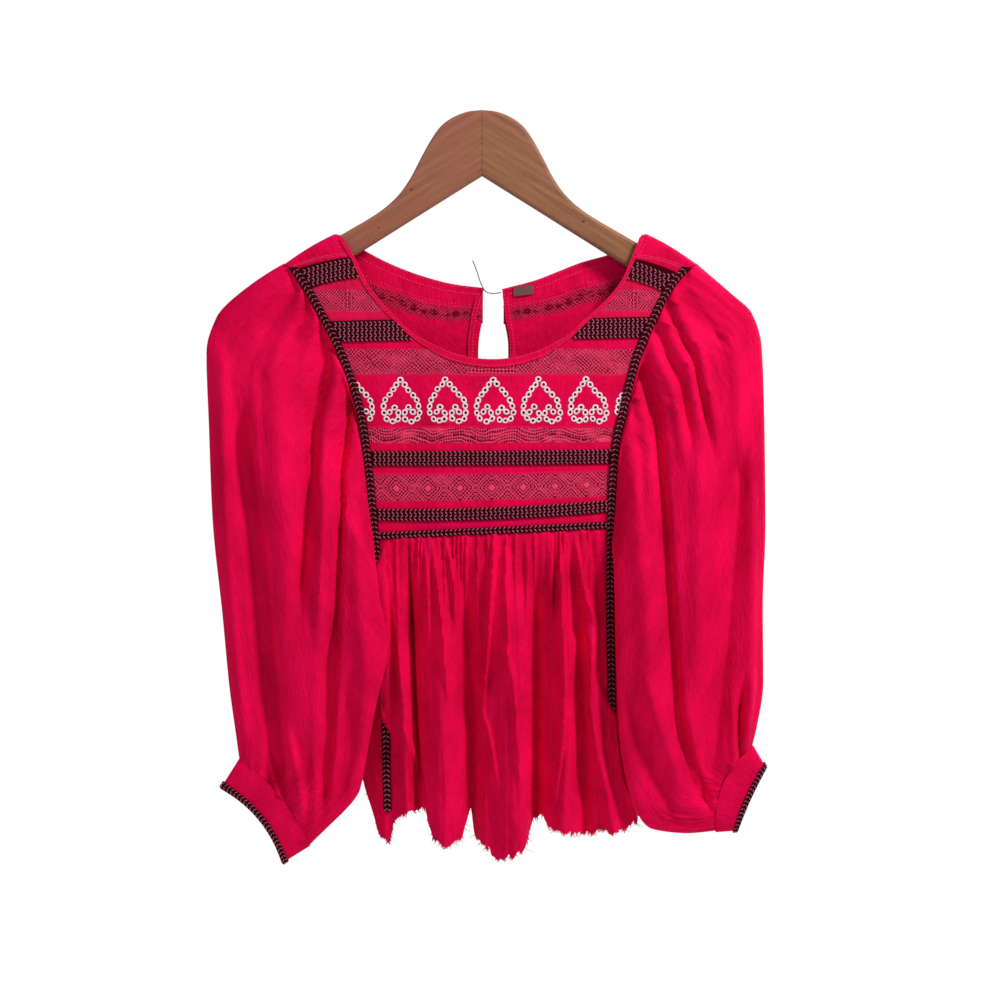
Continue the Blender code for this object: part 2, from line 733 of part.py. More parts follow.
def back_neck_point(side, share):
    """(x, z) on the back neckline: 0 is at the keyhole, 1 at the shoulder."""
    rows = [(k / (len(BACK_NECK) - 1), *row) for k, row in enumerate(BACK_NECK)]
    first = 1 if side < 0 else 3
    return np.stack([smooth(rows, first, share), smooth(rows, first + 1, share)], -1)


def back_band_grid(side, near, far, columns):
    """A band that follows the back neckline, from one distance below it to another."""
    share = np.linspace(0, 1, columns)
    neck = back_neck_point(side, share)
    lean = ease((share - 0.55) / 0.45)[:, None]
    down = (1 - lean) * np.array([0.0, -1.0]) + lean * np.array([side * 0.86, -0.51])
    down = down / np.linalg.norm(down, axis=1, keepdims=True)
    spread = 1 + 0.25 * ease(share * 2)[:, None]
    return np.stack([neck + down * near * spread, neck + down * far * spread])


def back_bands(side, label):
    for name, near, far, finish in (
        ("back_neck_binding_", 0.0, BACK_BINDING - SEAM, "cloth"),
        ("back_neck_band_", BACK_BINDING, BACK_BAND - SEAM, "cloth"),
        ("back_lace_", BACK_BAND, BACK_LACE - SEAM, "lace"),
    ):
        grid = back_band_grid(side, near, far, 8)
        # The keyhole's edge leans, so each band's first column follows it.
        for row in grid:
            row[0, 0] = smooth(KEYHOLE, 1 if side < 0 else 2, row[0, 1])
        wall(name + label, back(grid), finish)


def back_yoke(side, label):
    """The back below the lace, from the armhole to the keyhole."""
    columns, rows = 11, 9
    lace_line = back_band_grid(side, BACK_LACE, BACK_LACE + 1, columns - 3)[0][::-1]
    tip = np.array([trim_edge(side, -150.0, 1), -150.0])
    shares = np.linspace(0, 1, 4)[:-1, None]
    shoulder_line = tip + (lace_line[0] - tip) * shares
    top = np.concatenate([shoulder_line, lace_line])
    key_column = 1 if side < 0 else 2
    top[-1, 0] = smooth(KEYHOLE, key_column, top[-1, 1])
    left = edge_points(lambda z: trim_edge(side, z, 1), top[0, 1], BACK_YOKE_END, rows)
    right = edge_points(lambda z: smooth(KEYHOLE, key_column, z), top[-1, 1], BACK_YOKE_END, rows)
    way = np.linspace(0, 1, columns)[:, None]
    bottom = left[-1] + (right[-1] - left[-1]) * way
    wall("back_yoke_" + label, back(between(top, bottom, left, right)), "cloth")


def keyhole_binding(side, label):
    """A narrow binding along the keyhole's edge, on the inside of the back."""
    heights = np.linspace(-176.5, -280.0, 9)
    edge = smooth(KEYHOLE, 1 if side < 0 else 2, heights)
    near = np.stack([edge + side * 0.2, heights], -1)
    far = np.stack([edge + side * KEYHOLE_BINDING, heights], -1)
    wall("keyhole_binding_" + label, lifted(back, LAID_ON)(np.stack([near, far], 1)), "cloth")


def label_tab():
    x, z = LABEL_MIDDLE
    tilt = 0.12  # the label follows the neckline's slope
    shares = np.array([-0.5, 0.0, 0.5])
    grid = np.zeros((2, 3, 2))
    for i, up in enumerate((0.5, -0.5)):
        grid[i, :, 0] = x + shares * LABEL_WIDTH
        grid[i, :, 1] = z + up * LABEL_HEIGHT + shares * LABEL_WIDTH * tilt
    wall("label", lifted(back, LAID_ON)(grid), "label")


def loop_thread():
    """The thread that closes the top of the keyhole, with its loose end standing up."""
    route = (
        (-9.0, 7.0, -142.0),
        (-5.5, 7.5, -151.0),
        (-1.0, 8.0, -164.0),
        (3.5, 8.2, -171.5),
        (10.0, 8.0, -173.5),
        (18.0, 8.2, -172.5),
    )
    curve = bpy.data.curves.new("keyhole_thread", "CURVE")
    curve.dimensions = "3D"
    curve.bevel_depth = THREAD / 2 * MM
    curve.bevel_resolution = 2
    curve.use_fill_caps = True
    points = spline_points(np.array(route), 15)
    line = curve.splines.new("POLY")
    line.points.add(len(points) - 1)
    for point, place in zip(line.points, points):
        point.co = (*(place * MM), 1)
    curve.materials.append(material("thread"))
    obj = bpy.data.objects.new("keyhole_thread", curve)
    bpy.context.scene.collection.objects.link(obj)


def spline_points(route, count):
    """Points along a smooth curve through the route's own points."""
    lengths = np.r_[0, np.cumsum(np.linalg.norm(np.diff(route, axis=0), axis=1))]
    rows = [(length, *place) for length, place in zip(lengths, route)]
    at = np.linspace(0, lengths[-1], count)
    return np.stack([smooth(rows, 1, at), smooth(rows, 2, at), smooth(rows, 3, at)], -1)


# ---------------------------------------------------------------------------
# Sleeves and cuffs
# ---------------------------------------------------------------------------


def armhole_ring(side, angle):
    """The sleeve's first ring: down the front armhole and up the back one."""
    share = (1 - np.cos(angle)) / 2
    top, low = -146.0, UNDERARM
    z = top + (low - top) * share
    x = trim_edge(side, z, 1) + side * (SEAM + CLOTH + (1 - share) ** 6)
    xz = np.stack([x, z], -1)
    in_front = front(xz)[:, 1]
    behind = back(xz)[:, 1]
    # The shoulder end is square, as the strap is, and the underarm is rounder.
    squareness = np.where(share < 0.5, 4.0, 2.2)
    level = np.clip(np.abs(np.sin(angle)) * squareness, 0, 1)
    return x, np.where(np.sin(angle) > 0, in_front, behind) * level, z


def sleeve_folds(rows, share, down):
    out = np.zeros(np.shape(share))
    for at_top, at_bottom, start, end, width, height in rows:
        middle = at_top + (at_bottom - at_top) * down
        reach = ease((down - start) / 0.15) * ease((end - down) / 0.1)
        out = out + height * reach * np.exp(-(((share - middle) / width) ** 2))
    return out


def sleeve(name, side, stations, fold_rows):
    columns = 24
    downs = (0.0, 0.07, 0.12, 0.17, 0.24, 0.34, 0.46, 0.60, 0.74, 0.88, 0.95, 1.0)
    angle = np.arange(columns) * 2 * math.pi / columns
    share = (1 - np.cos(angle)) / 2
    in_front = np.sin(angle) > 0
    first = np.stack(armhole_ring(side, angle), -1)
    grid = np.zeros((len(downs), columns, 3))
    for i, down in enumerate(downs):
        outer_x, outer_z, inner_x, inner_z, outer_y, inner_y, depth, depth_behind, bow = (
            float(smooth(stations, k, down)) for k in range(1, 10)
        )
        x = outer_x + (inner_x - outer_x) * share
        z = outer_z + (inner_z - outer_z) * share
        chord = np.array([inner_x - outer_x, inner_z - outer_z])
        away = np.array([-chord[1], chord[0]]) / np.linalg.norm(chord)
        if away[0] * side > 0:
            away = -away
        bulge = bow * 4 * share * (1 - share)
        round_shape = np.abs(np.sin(angle)) ** 0.8
        half = np.where(in_front, -depth, depth_behind) * round_shape
        y = outer_y + (inner_y - outer_y) * share + half
        crease = sleeve_folds(fold_rows, share, down) * round_shape
        y = y - np.where(in_front, crease, -0.5 * crease)
        ring = np.stack([x + away[0] * bulge, y, z + away[1] * bulge], -1)
        blend = ease(down / SLEEVE_HEAD)
        grid[i] = first * (1 - blend) + ring * blend
    return wall(name, grid, "cloth", closed_round=True)


def cuff_grid(side, stations, shares, out):
    columns = 18
    angle = np.arange(columns) * 2 * math.pi / columns
    share = (1 - np.cos(angle)) / 2
    rows = []
    for down in shares:
        values = [np.interp(down, [0, 1], [stations[0][k], stations[1][k]]) for k in range(1, 6)]
        outer = np.array(values[:2])
        inner = np.array(values[2:4])
        chord = inner - outer
        length = np.linalg.norm(chord)
        along = chord / length
        up = np.array([-along[1], along[0]])
        if up[1] < 0:
            up = -up
        bow = values[4] * 4 * share * (1 - share)
        place = outer + chord * share[:, None] + up * bow[:, None]
        place = place + along * (out * (2 * share - 1))[:, None]
        y = CUFF_Y - (CUFF_DEPTH + out) * np.sign(np.sin(angle)) * np.abs(np.sin(angle)) ** 0.7
        rows.append(np.stack([place[:, 0], y, place[:, 1]], -1))
    return np.stack(rows)


def cuff(side, label, stations):
    grid = cuff_grid(side, stations, (0.01, 0.5, 1.0), 0.0)
    wall("cuff_" + label, grid, "cloth", closed_round=True)
    edge = cuff_grid(side, stations, (1 - CUFF_BRAID_SHARE, 1.0), LAID_ON + 0.4)
    wall("cuff_braid_" + label, edge, "braid", BRAID, closed_round=True)


def sleeves():
    sleeve("sleeve_left", -1, LEFT_SLEEVE, LEFT_SLEEVE_FOLDS)
    sleeve("sleeve_right", 1, RIGHT_SLEEVE, RIGHT_SLEEVE_FOLDS)
    cuff(-1, "left", LEFT_CUFF)
    cuff(1, "right", RIGHT_CUFF)


# ---------------------------------------------------------------------------
# The hanger
# ---------------------------------------------------------------------------


def hanger_half(name, side):
    """One half of the hanger: its outline, raised to the hanger's depth, with rounded edges."""
    at = np.concatenate([np.linspace(0, 100, 30), np.linspace(112, HANGER_TOP[-1][0], 8)])
    heights = smooth(HANGER_TOP, 1, at)
    outline = list(zip(at, heights)) + list(HANGER_END)
    outline += list(HANGER_UNDERSIDE)
    outline = [(side * max(x, SEAM / 2), z) for x, z in outline]
    count = len(outline)
    half = HANGER_DEPTH / 2
    points = [(x, -half, z) for x, z in outline] + [(x, half, z) for x, z in outline]
    faces = [list(range(count)), list(range(2 * count - 1, count - 1, -1))]
    for i in range(count):
        k = (i + 1) % count
        faces.append([i, i + count, k + count, k])
    obj = make_object(name, points, faces, "wood")
    rounded = obj.data.attributes.new("bevel_weight_edge", "FLOAT", "EDGE")
    for edge in obj.data.edges:
        a, b = (obj.data.vertices[n].co for n in edge.vertices)
        at_seam = max(abs(a.x), abs(b.x)) < SEAM * MM
        rounded.data[edge.index].value = 0.0 if at_seam or a.y != b.y else 1.0
    bevel = obj.modifiers.new("Bevel", "BEVEL")
    bevel.width = HANGER_EDGE * MM
    bevel.segments = 3
    bevel.limit_method = "WEIGHT"
    return obj


def main():
    clear_scene()
    hanger_half("hanger_left", -1)
    hanger_half("hanger_right", 1)
    yoke()
    front_skirt()
    back_skirt()
    for side, label in ((-1, "left"), (1, "right")):
        side_panel("side_panel_" + label, side)
        back_bands(side, label)
        back_yoke(side, label)
        keyhole_binding(side, label)
    label_tab()
    loop_thread()
    sleeves()


main()
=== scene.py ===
"""Peasant blouse with bishop sleeves, hanging on a wooden hanger.

A Blender 4.5 add-on, laid out so that it can also be run as a script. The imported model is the
frame: X runs to the right, the front faces -Y, Z is up, and the origin is the top of the hanger.
Tables and named sizes are in millimetres, and become metres when a mesh is made.
"""

import math

import bpy
import numpy as np
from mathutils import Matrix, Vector


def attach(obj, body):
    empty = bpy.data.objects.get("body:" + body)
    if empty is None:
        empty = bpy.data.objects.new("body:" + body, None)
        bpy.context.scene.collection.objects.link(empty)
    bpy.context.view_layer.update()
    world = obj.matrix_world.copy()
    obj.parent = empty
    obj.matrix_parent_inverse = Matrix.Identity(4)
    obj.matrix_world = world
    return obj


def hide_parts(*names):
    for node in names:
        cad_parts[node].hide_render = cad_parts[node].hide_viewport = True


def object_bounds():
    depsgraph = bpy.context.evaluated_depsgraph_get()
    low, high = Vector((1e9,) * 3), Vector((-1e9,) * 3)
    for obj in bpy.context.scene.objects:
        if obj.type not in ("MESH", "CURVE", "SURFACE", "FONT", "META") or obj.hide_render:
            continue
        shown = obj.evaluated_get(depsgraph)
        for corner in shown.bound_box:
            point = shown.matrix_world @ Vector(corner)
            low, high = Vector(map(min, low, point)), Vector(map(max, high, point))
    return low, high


bl_info = {
    "name": "Peasant blouse",
    "version": (1, 0, 0),
    "blender": (4, 5, 0),
    "location": "3D View > Sidebar > Blouse",
    "description": "Cloth, lace, braid and stitching of a peasant blouse on its hanger",
    "category": "Object",
}

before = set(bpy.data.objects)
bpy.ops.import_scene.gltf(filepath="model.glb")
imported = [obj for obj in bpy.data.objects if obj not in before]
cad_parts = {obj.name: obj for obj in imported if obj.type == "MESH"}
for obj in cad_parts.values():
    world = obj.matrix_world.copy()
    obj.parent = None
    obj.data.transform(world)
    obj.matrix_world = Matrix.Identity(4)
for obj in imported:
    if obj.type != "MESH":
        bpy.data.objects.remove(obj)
CAD_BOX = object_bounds()

MM = 0.001
BODY = "root"

# Driving sizes
CLOTH = 1.2
FREE_CLOTH = 0.8  # cloth that nothing is sewn on to
BRAID = 1.2
SEAM = 0.3
TUCK_REACH = 2.0  # how far a strip's edge passes behind the next strip, and how deep it lies
TUCK_DEPTH = 1.4
LAID_ON = CLOTH / 2 + SEAM + BRAID / 2
CENTRE = 10.0  # the garment's own centre line hangs right of the hanger's
UNDERARM = -388.0
TRIM_WIDTH = 7.4
WIDE_BRAID = 18.0
NARROW_BRAID = 6.5
NECK_BINDING = 4.0
TRIM_TOP = -150.0
TRIM_HEMS = {-1: -664.0, 1: -668.0}  # a side is -1 on the left and 1 on the right
FRONT_HEM_ENDS = (-690.0, -672.0)
BACK_HEM_ENDS = (-650.0, -648.0)
BACK_YOKE_END = -330.0
BACK_BINDING = 8.0
BACK_BAND = 18.0
BACK_LACE = 32.0
KEYHOLE_BINDING = 5.5
SHOULDER_TOP_DEPTH = 9.5

# Middle of the trim that runs from each shoulder down to the hem.
# Columns: height, left x, right x
TRIM_LINE = (
    (-144, -183, 199),
    (-170, -165, 177),
    (-199, -149, 162),
    (-234, -132, 147),
    (-284, -115.5, 134),
    (-324, -109, 126),
    (-383, -103, 122),
    (-460, -96, 121),
    (-575, -91, 123),
    (-630, -90, 129),
    (-672, -89, 143),
    (-700, -89, 150),
)
# Front neckline above the front lace. Columns: height, left x, right x
FRONT_NECK = (
    (-114, -136, 152),
    (-139, -121, 142),
    (-160, -111, 133),
    (-178, -99, 120),
    (-201, -77, 95),
    (-213, -64, 82),
    (-226.5, -38, 58),
)
NECK_DIP_HEIGHT = -237.0
NECK_DIP_REACH = 48.0
# Back neckline from the keyhole out to the shoulder. Columns: left x, left z, right x, right z
BACK_NECK = (
    (2, -168, 19, -169),
    (-26, -164.5, 51, -160.5),
    (-53, -157.8, 73, -152),
    (-81, -147.8, 95, -143.5),
    (-109, -134, 120, -136.5),
    (-129.5, -121, 144.5, -126.5),
)
# Edges of the keyhole slit at the back. Columns: height, left x, right x
KEYHOLE = (
    (-168, 2, 19),
    (-196, -5, 22),
    (-223, -8, 26),
    (-255, -6, 25),
    (-282, 6, 14),
    (-290, 9.8, 10.2),
    (-330, 9.8, 10.2),
)
# Depth of the middle of the front and of the back. Columns: height, front y, back y
DEPTHS = (
    (-110, -9.5, 9.5),
    (-155, -11, 10.5),
    (-250, -13.5, 12.5),
    (-400, -16.5, 14.5),
    (-700, -19, 18),
)
# Seams between the strips of the front yoke. Columns: height at the left, centre and right
UNDER_BRAID_1 = (-160.0, -148.0, -164.0)
UNDER_BRAID_2 = (-210.0, -208.0, -206.0)
LACE_TOP = (-226.5, -226.5, -226.5)
EMBROIDERY_TOP = (-253.0, -253.0, -253.0)
EMBROIDERY_END = (-300.0, -300.0, -300.0)
NARROW_LACE_END = (-316.0, -316.0, -315.0)
UNDER_BRAID_3 = (-331.0, -330.5, -329.0)
DIAMONDS_TOP = (-344.0, -344.0, -341.0)
DIAMONDS_END = (-371.0, -370.0, -366.0)
UNDER_BRAID_4 = (-384.0, -383.0, -376.0)
UNDER_BRAID_5 = (-404.0, -399.0, -394.0)
# Strips across the whole front. Columns: name, top seam, bottom seam, finish, rows of points
FRONT_STRIPS = (
    ("embroidered_panel", EMBROIDERY_TOP, EMBROIDERY_END, "gauze", 36),
    ("narrow_lace", EMBROIDERY_END, NARROW_LACE_END, "wavy_lace", 14),
    ("plain_strip_1", NARROW_LACE_END, UNDER_BRAID_3, "gauze", 12),
    ("plain_strip_2", UNDER_BRAID_3, DIAMONDS_TOP, "gauze", 12),
    ("diamond_lace", DIAMONDS_TOP, DIAMONDS_END, "diamond_lace", 22),
    ("plain_strip_3", DIAMONDS_END, UNDER_BRAID_4, "gauze", 12),
    ("plain_strip_4", UNDER_BRAID_4, UNDER_BRAID_5, "gauze", 16),
)
# Braids across the whole front. Columns: name, middle, height
FRONT_BRAIDS = (
    ("braid_3", UNDER_BRAID_3, 13.0),
    ("braid_4", UNDER_BRAID_4, 11.0),
    ("braid_5", UNDER_BRAID_5, NARROW_BRAID),
)
# Frayed hem of the front. Columns: x, height
FRONT_HEM = (
    (-95, -692),
    (-87, -690),
    (-82, -671),
    (-66, -661),
    (-54, -661),
    (-50, -677),
    (-45, -688),
    (-31, -695),
    (-21, -691),
    (-16, -678),
    (-11, -662),
    (-7, -684),
    (3, -698),
    (17, -706),
    (31, -702),
    (42, -693),
    (46, -677),
    (55, -668),
    (64, -680),
    (80, -683),
    (100, -683),
    (128, -681),
    (150, -670),
)
# Largest folds of the front skirt. Columns: x at the top, x half way, x at the hem, half width,
# height of the ridge (less than 0 is a trough)
SKIRT_FOLDS = (
    (-86, -78, -70, 8, 5),
    (-68, -65, -61, 5, -6),
    (-42, -37, -34, 13, 6),
    (-19, -12, -9, 7, -9),
    (22, 28, 34, 17, 8),
    (50, 51, 50, 6, -9),
    (76, 79, 74, 9, 5),
    (91, 93, 98, 6, -5),
    (103, 106, 128, 8, 6),
)
BACK_FOLDS = (
    (-70, -72, -76, 14, 6),
    (-38, -38, -36, 11, -6),
    (-2, -4, -6, 16, 7),
    (34, 36, 40, 11, -6),
    (70, 74, 80, 16, 6),
)
# Smaller creases. Columns: height and x of the upper end, of the middle and of the lower end,
# half width on the left, half width on the right, height of the ridge (less than 0 is a trough)
SKIRT_CREASES = (
    (-408, -92, -500, -82, -600, -68, 5, 3, 2.2),
    (-575, -78, -600, -68, -620, -60, 4, 2.5, 2.5),
    (-425, -68.5, -540, -64, -660, -56, 2.2, 2.2, -2.6),
    (-408, -54, -440, -52, -500, -50, 2.2, 2.2, 1.4),
    (-408, -48, -480, -38, -560, -32, 2.6, 1.8, 2),
    (-408, -34, -440, -28, -490, -24, 2.4, 1.8, 1.6),
    (-410, 11, -500, 6, -575, 0.5, 3, 2, 2.4),
    (-570, 1, -600, 9, -640, 14, 3, 2.4, 2),
    (-408, 22, -470, 24, -540, 25, 2.4, 2, 1.6),
    (-500, 20, -545, 30, -640, 36, 3, 2, 2.2),
    (-408, 42, -450, 43, -492, 43, 2.4, 2, 1.6),
    (-420, 74, -560, 77.5, -660, 68, 3, 1.8, 3),
    (-408, 66, -440, 65, -480, 66, 2.2, 2.2, 1.6),
    (-408, 89, -450, 95, -492, 109, 3.4, 2, 3),
    (-484, 109.5, -520, 104, -570, 101, 4, 3, 2.6),
    (-560, 101, -600, 108, -665, 130, 5, 4, 3),
    (-405, 103, -440, 109, -480, 114, 5, 6, -2),
    (-600, 84, -640, 80, -675, 76, 7, 5, 1.6),
)
LEFT_SLEEVE_CREASES = (
    (-150, -183, -178, -193, -216, -207, 5, 3, -3.4),
    (-158, -176, -190, -182, -226, -187, 3.5, 2.5, -3),
    (-156, -177, -196, -189, -250, -199, 3, 3, 2.2),
    (-165, -170, -205, -172, -250, -175, 3, 3, 2.2),
    (-178, -167, -310, -159, -480, -171, 6, 5, -4),
    (-205, -151, -330, -147, -500, -152, 5, 4, 3),
    (-208, -141, -380, -132, -540, -139, 3, 3, -5.5),
    (-235, -132, -275, -124, -320, -122, 3, 3, 2),
    (-490, -139, -580, -141, -665, -150, 8, 4, -5.5),
    (-310, -116, -440, -114, -555, -104, 9, 12, 4),
    (-540, -124, -590, -124, -655, -136, 8, 8, -5.5),
    (-290, -226, -430, -206, -650, -187, 13, 6, -6),
    (-230, -245, -430, -238, -610, -221, 7, 6, 3),
    (-230, -196, -400, -187, -560, -176, 15, 13, 3),
    (-585, -181, -630, -172, -676, -166, 5, 3, 3),
    (-610, -199, -640, -192, -668, -184, 4, 3, 2.4),
    (-600, -156, -640, -155, -688, -160, 4, 3, 2.6),
    (-250, -214, -330, -210, -400, -206, 5, 4, 1.6),
)
RIGHT_SLEEVE_CREASES = (
    (-196, 161, -400, 173, -600, 186, 5.5, 3.5, -6),
    (-570, 184, -615, 194, -662, 214, 5, 5, -6),
    (-260, 140, -430, 150, -610, 164, 11, 12, 3.6),
    (-235, 152, -310, 150.5, -390, 151, 5, 4, -1.6),
    (-158, 199, -188, 207, -222, 226, 5, 4, -3.4),
    (-170, 194, -235, 207, -318, 223, 4, 4, 2),
    (-180, 188, -250, 202, -330, 217, 3.8, 3.4, -1.8),
    (-186, 184, -245, 196, -322, 209, 4, 4, 1.8),
    (-196, 178, -262, 188, -330, 199, 3.8, 3.4, -1.8),
    (-205, 172, -262, 180, -340, 190, 4.2, 3.8, 1.8),
    (-310, 204, -430, 203, -545, 200, 9, 8, 3),
    (-320, 240, -470, 227, -645, 211, 12, 12, -5),
    (-320, 254, -430, 254, -560, 252, 6, 5, 2.6),
    (-530, 255, -572, 251, -604, 247, 3, 3, 2.6),
    (-540, 247, -585, 241, -622, 243, 4, 3, -3.6),
    (-555, 236, -605, 238, -648, 232, 4, 3, 2.4),
    (-545, 134, -600, 154, -668, 178, 10, 7, -3),
    (-520, 146, -570, 163, -640, 186, 6, 6, 2.2),
    (-190, 232, -260, 240, -330, 243, 7, 6, 1.8),
)

# Side panels
SIDE_TOP = -384.0
SIDE_REACH = 158.0  # from the garment's centre line out to the fold
SIDE_OPEN = 60.0  # height over which the panel opens out under the arm
SIDE_HEMS = {-1: -690.0, 1: -670.0}
SIDE_BACK_HEM = -646.0
# Rise of the hem beside the trim. Columns: distance from the trim, height
SIDE_HEM_EDGE = ((0, 0), (5, 3), (10, 14), (16, 33), (24, 62), (34, 84), (70, 105))

# Left sleeve. Columns: share of the way down, outer x and z, inner x and z, outer and inner y,
# depth in front, depth behind, bow of the ring towards the garment's centre
LEFT_SLEEVE = (
    (0, -184, -145, -107.8, -388, 0, -1, 12, 12, 0),
    (0.05, -211, -159, -103.5, -396, 0, -5, 14, 18, 16),
    (0.10, -234, -177, -103, -406, 0, -12, 16, 18, 13),
    (0.16, -252, -198, -102, -417, -2, -22, 17, 17, 9),
    (0.24, -260, -230, -99.5, -434, -11, -33, 17, 14, 5),
    (0.36, -257, -300, -96, -464, -18, -36, 17, 14, 0),
    (0.50, -253, -390, -88, -508, -22, -37, 17, 14, 0),
    (0.64, -244, -476, -99, -560, -22, -35, 17, 14, 0),
    (0.78, -237, -548, -107, -602, -22, -32, 16, 13, 0),
    (0.90, -231, -590, -115, -642, -24, -28, 13, 11, 0),
    (1, -227.5, -614, -162, -694, -26, -26, 9, 9, 8),
)
RIGHT_SLEEVE = (
    (0, 200, -146, 126.8, -388, 0, -1, 12, 12, 0),
    (0.05, 220, -161, 123.5, -396, 0, -5, 14, 18, 16),
    (0.10, 238, -176, 123.5, -406, 0, -12, 16, 18, 13),
    (0.16, 256, -194, 123.5, -417, -2, -22, 17, 17, 9),
    (0.24, 264, -226, 124.5, -436, -11, -32, 17, 14, 5),
    (0.36, 266, -306, 125.5, -474, -18, -34, 17, 14, 0),
    (0.50, 266.5, -392, 126.5, -524, -22, -35, 17, 14, 0),
    (0.64, 264, -470, 128.5, -580, -22, -34, 17, 14, 0),
    (0.78, 264.5, -540, 136, -632, -22, -31, 16, 13, 0),
    (0.90, 258.5, -582, 158, -678, -24, -27, 13, 11, 0),
    (0.95, 255.5, -594, 192, -683, -25, -26, 12, 10, 4),
    (1, 253.6, -601.8, 219.4, -680.8, -26, -26, 9, 9, 12),
)
# How far folds and creases stand out and go in, as multiples of their heights in the tables
LARGE_FOLDS = 1.9
SMALL_CREASES = 3.5
SLEEVE_RIDGES = 2.4
SLEEVE_TROUGHS = 3.0
SLEEVE_HEAD = 0.12  # share of the way down in which the armhole's shape fades out
ARMHOLE_TOP = -146.0
# Cuffs. Columns: share of the way from the seam to the hem, outer x and z, inner x and z, and
# how far the ring bows up
LEFT_CUFF = (
    (0, -228, -615, -163, -695, 8),
    (1, -245, -642, -188.5, -711, 10),
)
RIGHT_CUFF = (
    (0, 255, -602.6, 221, -681.5, 12),
    (1, 267, -623, 241, -680, 2),
)
CUFF_DEPTH = 9.0
CUFF_Y = -26.0
CUFF_BRAID_SHARE = 0.2

# Half of an embroidered arch, from its peak down to the curl inside. Columns: x, height
ARCH = (
    (0.0, 39.5), (-8.4, 28.6), (-16.2, 17.4), (-17.0, 8.6), (-14.0, 1.6), (-8.6, 0.0),
    (-3.9, 1.4), (-3.0, 7.4), (-6.9, 13.4), (-10.9, 9.0),
)
# Hanger
# A thin dark strip in the joint between the hanger's halves, painted shade of the gap: its size
# along X, Y and Z, and its middle height.
SEAM_SHADE_SIZE = (0.3, 9.8, 61.6)
SEAM_SHADE_MIDDLE = -31.4
# Knots in the wood. Columns: x, height, radius
KNOTS = ((-67.0, -76.0, 2.2), (96.0, -106.0, 2.2), (-98.0, -112.0, 1.4))

LABEL_WIDTH = 19.0
LABEL_HEIGHT = 9.0
LABEL_MIDDLE = (39.5, -170.5)
THREAD = 0.9
THREAD_ROUTE = (
    (-9, 7, -142),
    (-5.5, 7.5, -151),
    (-1, 8, -164),
    (3.5, 8.2, -171.5),
    (10, 8, -173.5),
    (18, 8.2, -172.5),
)


# ---- Curves through the tables ----


def smooth(rows, column, at):
    """A table's column at the given places of its first column, as a curve without overshoot."""
    rows = np.array(sorted(rows), float)
    x = rows[:, 0]
    y = rows[:, column]
    step = np.diff(x)
    slope = np.diff(y) / step
    tangent = np.zeros(len(x))
    tangent[0] = slope[0]
    tangent[-1] = slope[-1]
    same_way = slope[1:] * slope[:-1] > 0
    inner = np.zeros(len(slope) - 1)
    inner[same_way] = 2 / (1 / slope[:-1][same_way] + 1 / slope[1:][same_way])
    tangent[1:-1] = inner
    at = np.clip(np.asarray(at, float), x[0], x[-1])
    k = np.clip(np.searchsorted(x, at, side="right") - 1, 0, len(step) - 1)
    f = (at - x[k]) / step[k]
    return (
        y[k] * (1 + 2 * f) * (1 - f) ** 2
        + tangent[k] * step[k] * f * (1 - f) ** 2
        + y[k + 1] * f * f * (3 - 2 * f)
        + tangent[k + 1] * step[k] * f * f * (f - 1)
    )


def ease(value):
    """0 to 1, with level ends."""
    value = np.clip(value, 0, 1)
    return value * value * (3 - 2 * value)


def across(seam, share):
    """Height of a seam at a share of the way from left to right."""
    left, middle, right = seam
    share = np.asarray(share, float)
    return (
        left * (1 - share) * (1 - 2 * share)
        + middle * 4 * share * (1 - share)
        + right * share * (2 * share - 1)
    )


def stretch(rows, column, z):
    """Length along a table's line for each millimetre of height."""
    change = smooth(rows, column, z + 1) - smooth(rows, column, z - 1)
    return np.sqrt(1 + (change / 2) ** 2)


def trim_edge(side, z, outward):
    """x of an edge of the trim: outward is 1 for the edge at the sleeve, -1 for the other."""
    column = 1 if side < 0 else 2
    half = TRIM_WIDTH / 2 * stretch(TRIM_LINE, column, z)
    return smooth(TRIM_LINE, column, z) + side * outward * half


def neck_x(side, z):
    return smooth(FRONT_NECK, 1 if side < 0 else 2, z)


def braid_end_x(side, z):
    """x at which a braid stops short of the neck binding."""
    column = 1 if side < 0 else 2
    return neck_x(side, z) + side * (NECK_BINDING + SEAM) * stretch(FRONT_NECK, column, z)


def lengths_along(line):
    """Length along a line at each of its points."""
    return np.r_[0, np.cumsum(np.linalg.norm(np.diff(line, axis=0), axis=1))]


def places_along(line, at):
    """Places at some lengths along a line of (x, z) places."""
    lengths = lengths_along(line)
    return np.stack([np.interp(at, lengths, line[:, n]) for n in (0, 1)], -1)


def spline_points(route, count):
    """Points along a smooth curve through the route's own points."""
    lengths = lengths_along(route)
    rows = [(length, *place) for length, place in zip(lengths, route)]
    at = np.linspace(0, lengths[-1], count)
    return np.stack([smooth(rows, column, at) for column in (1, 2, 3)], -1)


# ---- Creases ----


def noise(u, v, seed):
    """Smooth seeded noise from -1 to 1, with about one lump to each unit."""
    lattice = np.random.default_rng(seed).uniform(-1, 1, (61, 61))
    i, j = np.floor(u).astype(int), np.floor(v).astype(int)
    f, g = ease(u - i), ease(v - j)

    def at(a, b):
        return lattice[(i + a) % 61, (j + b) % 61]

    near = at(0, 0) * (1 - f) + at(1, 0) * f
    far = at(0, 1) * (1 - f) + at(1, 1) * f
    return near * (1 - g) + far * g


def pleats(u, v, seed):
    """Narrow ridges with wider hollows between them, from 0 to 1, that run along v."""
    wander = u + 0.8 * noise(u * 0.3, v, seed + 1)
    return (1 - np.abs(noise(wander, v * 0.5, seed))) ** 3


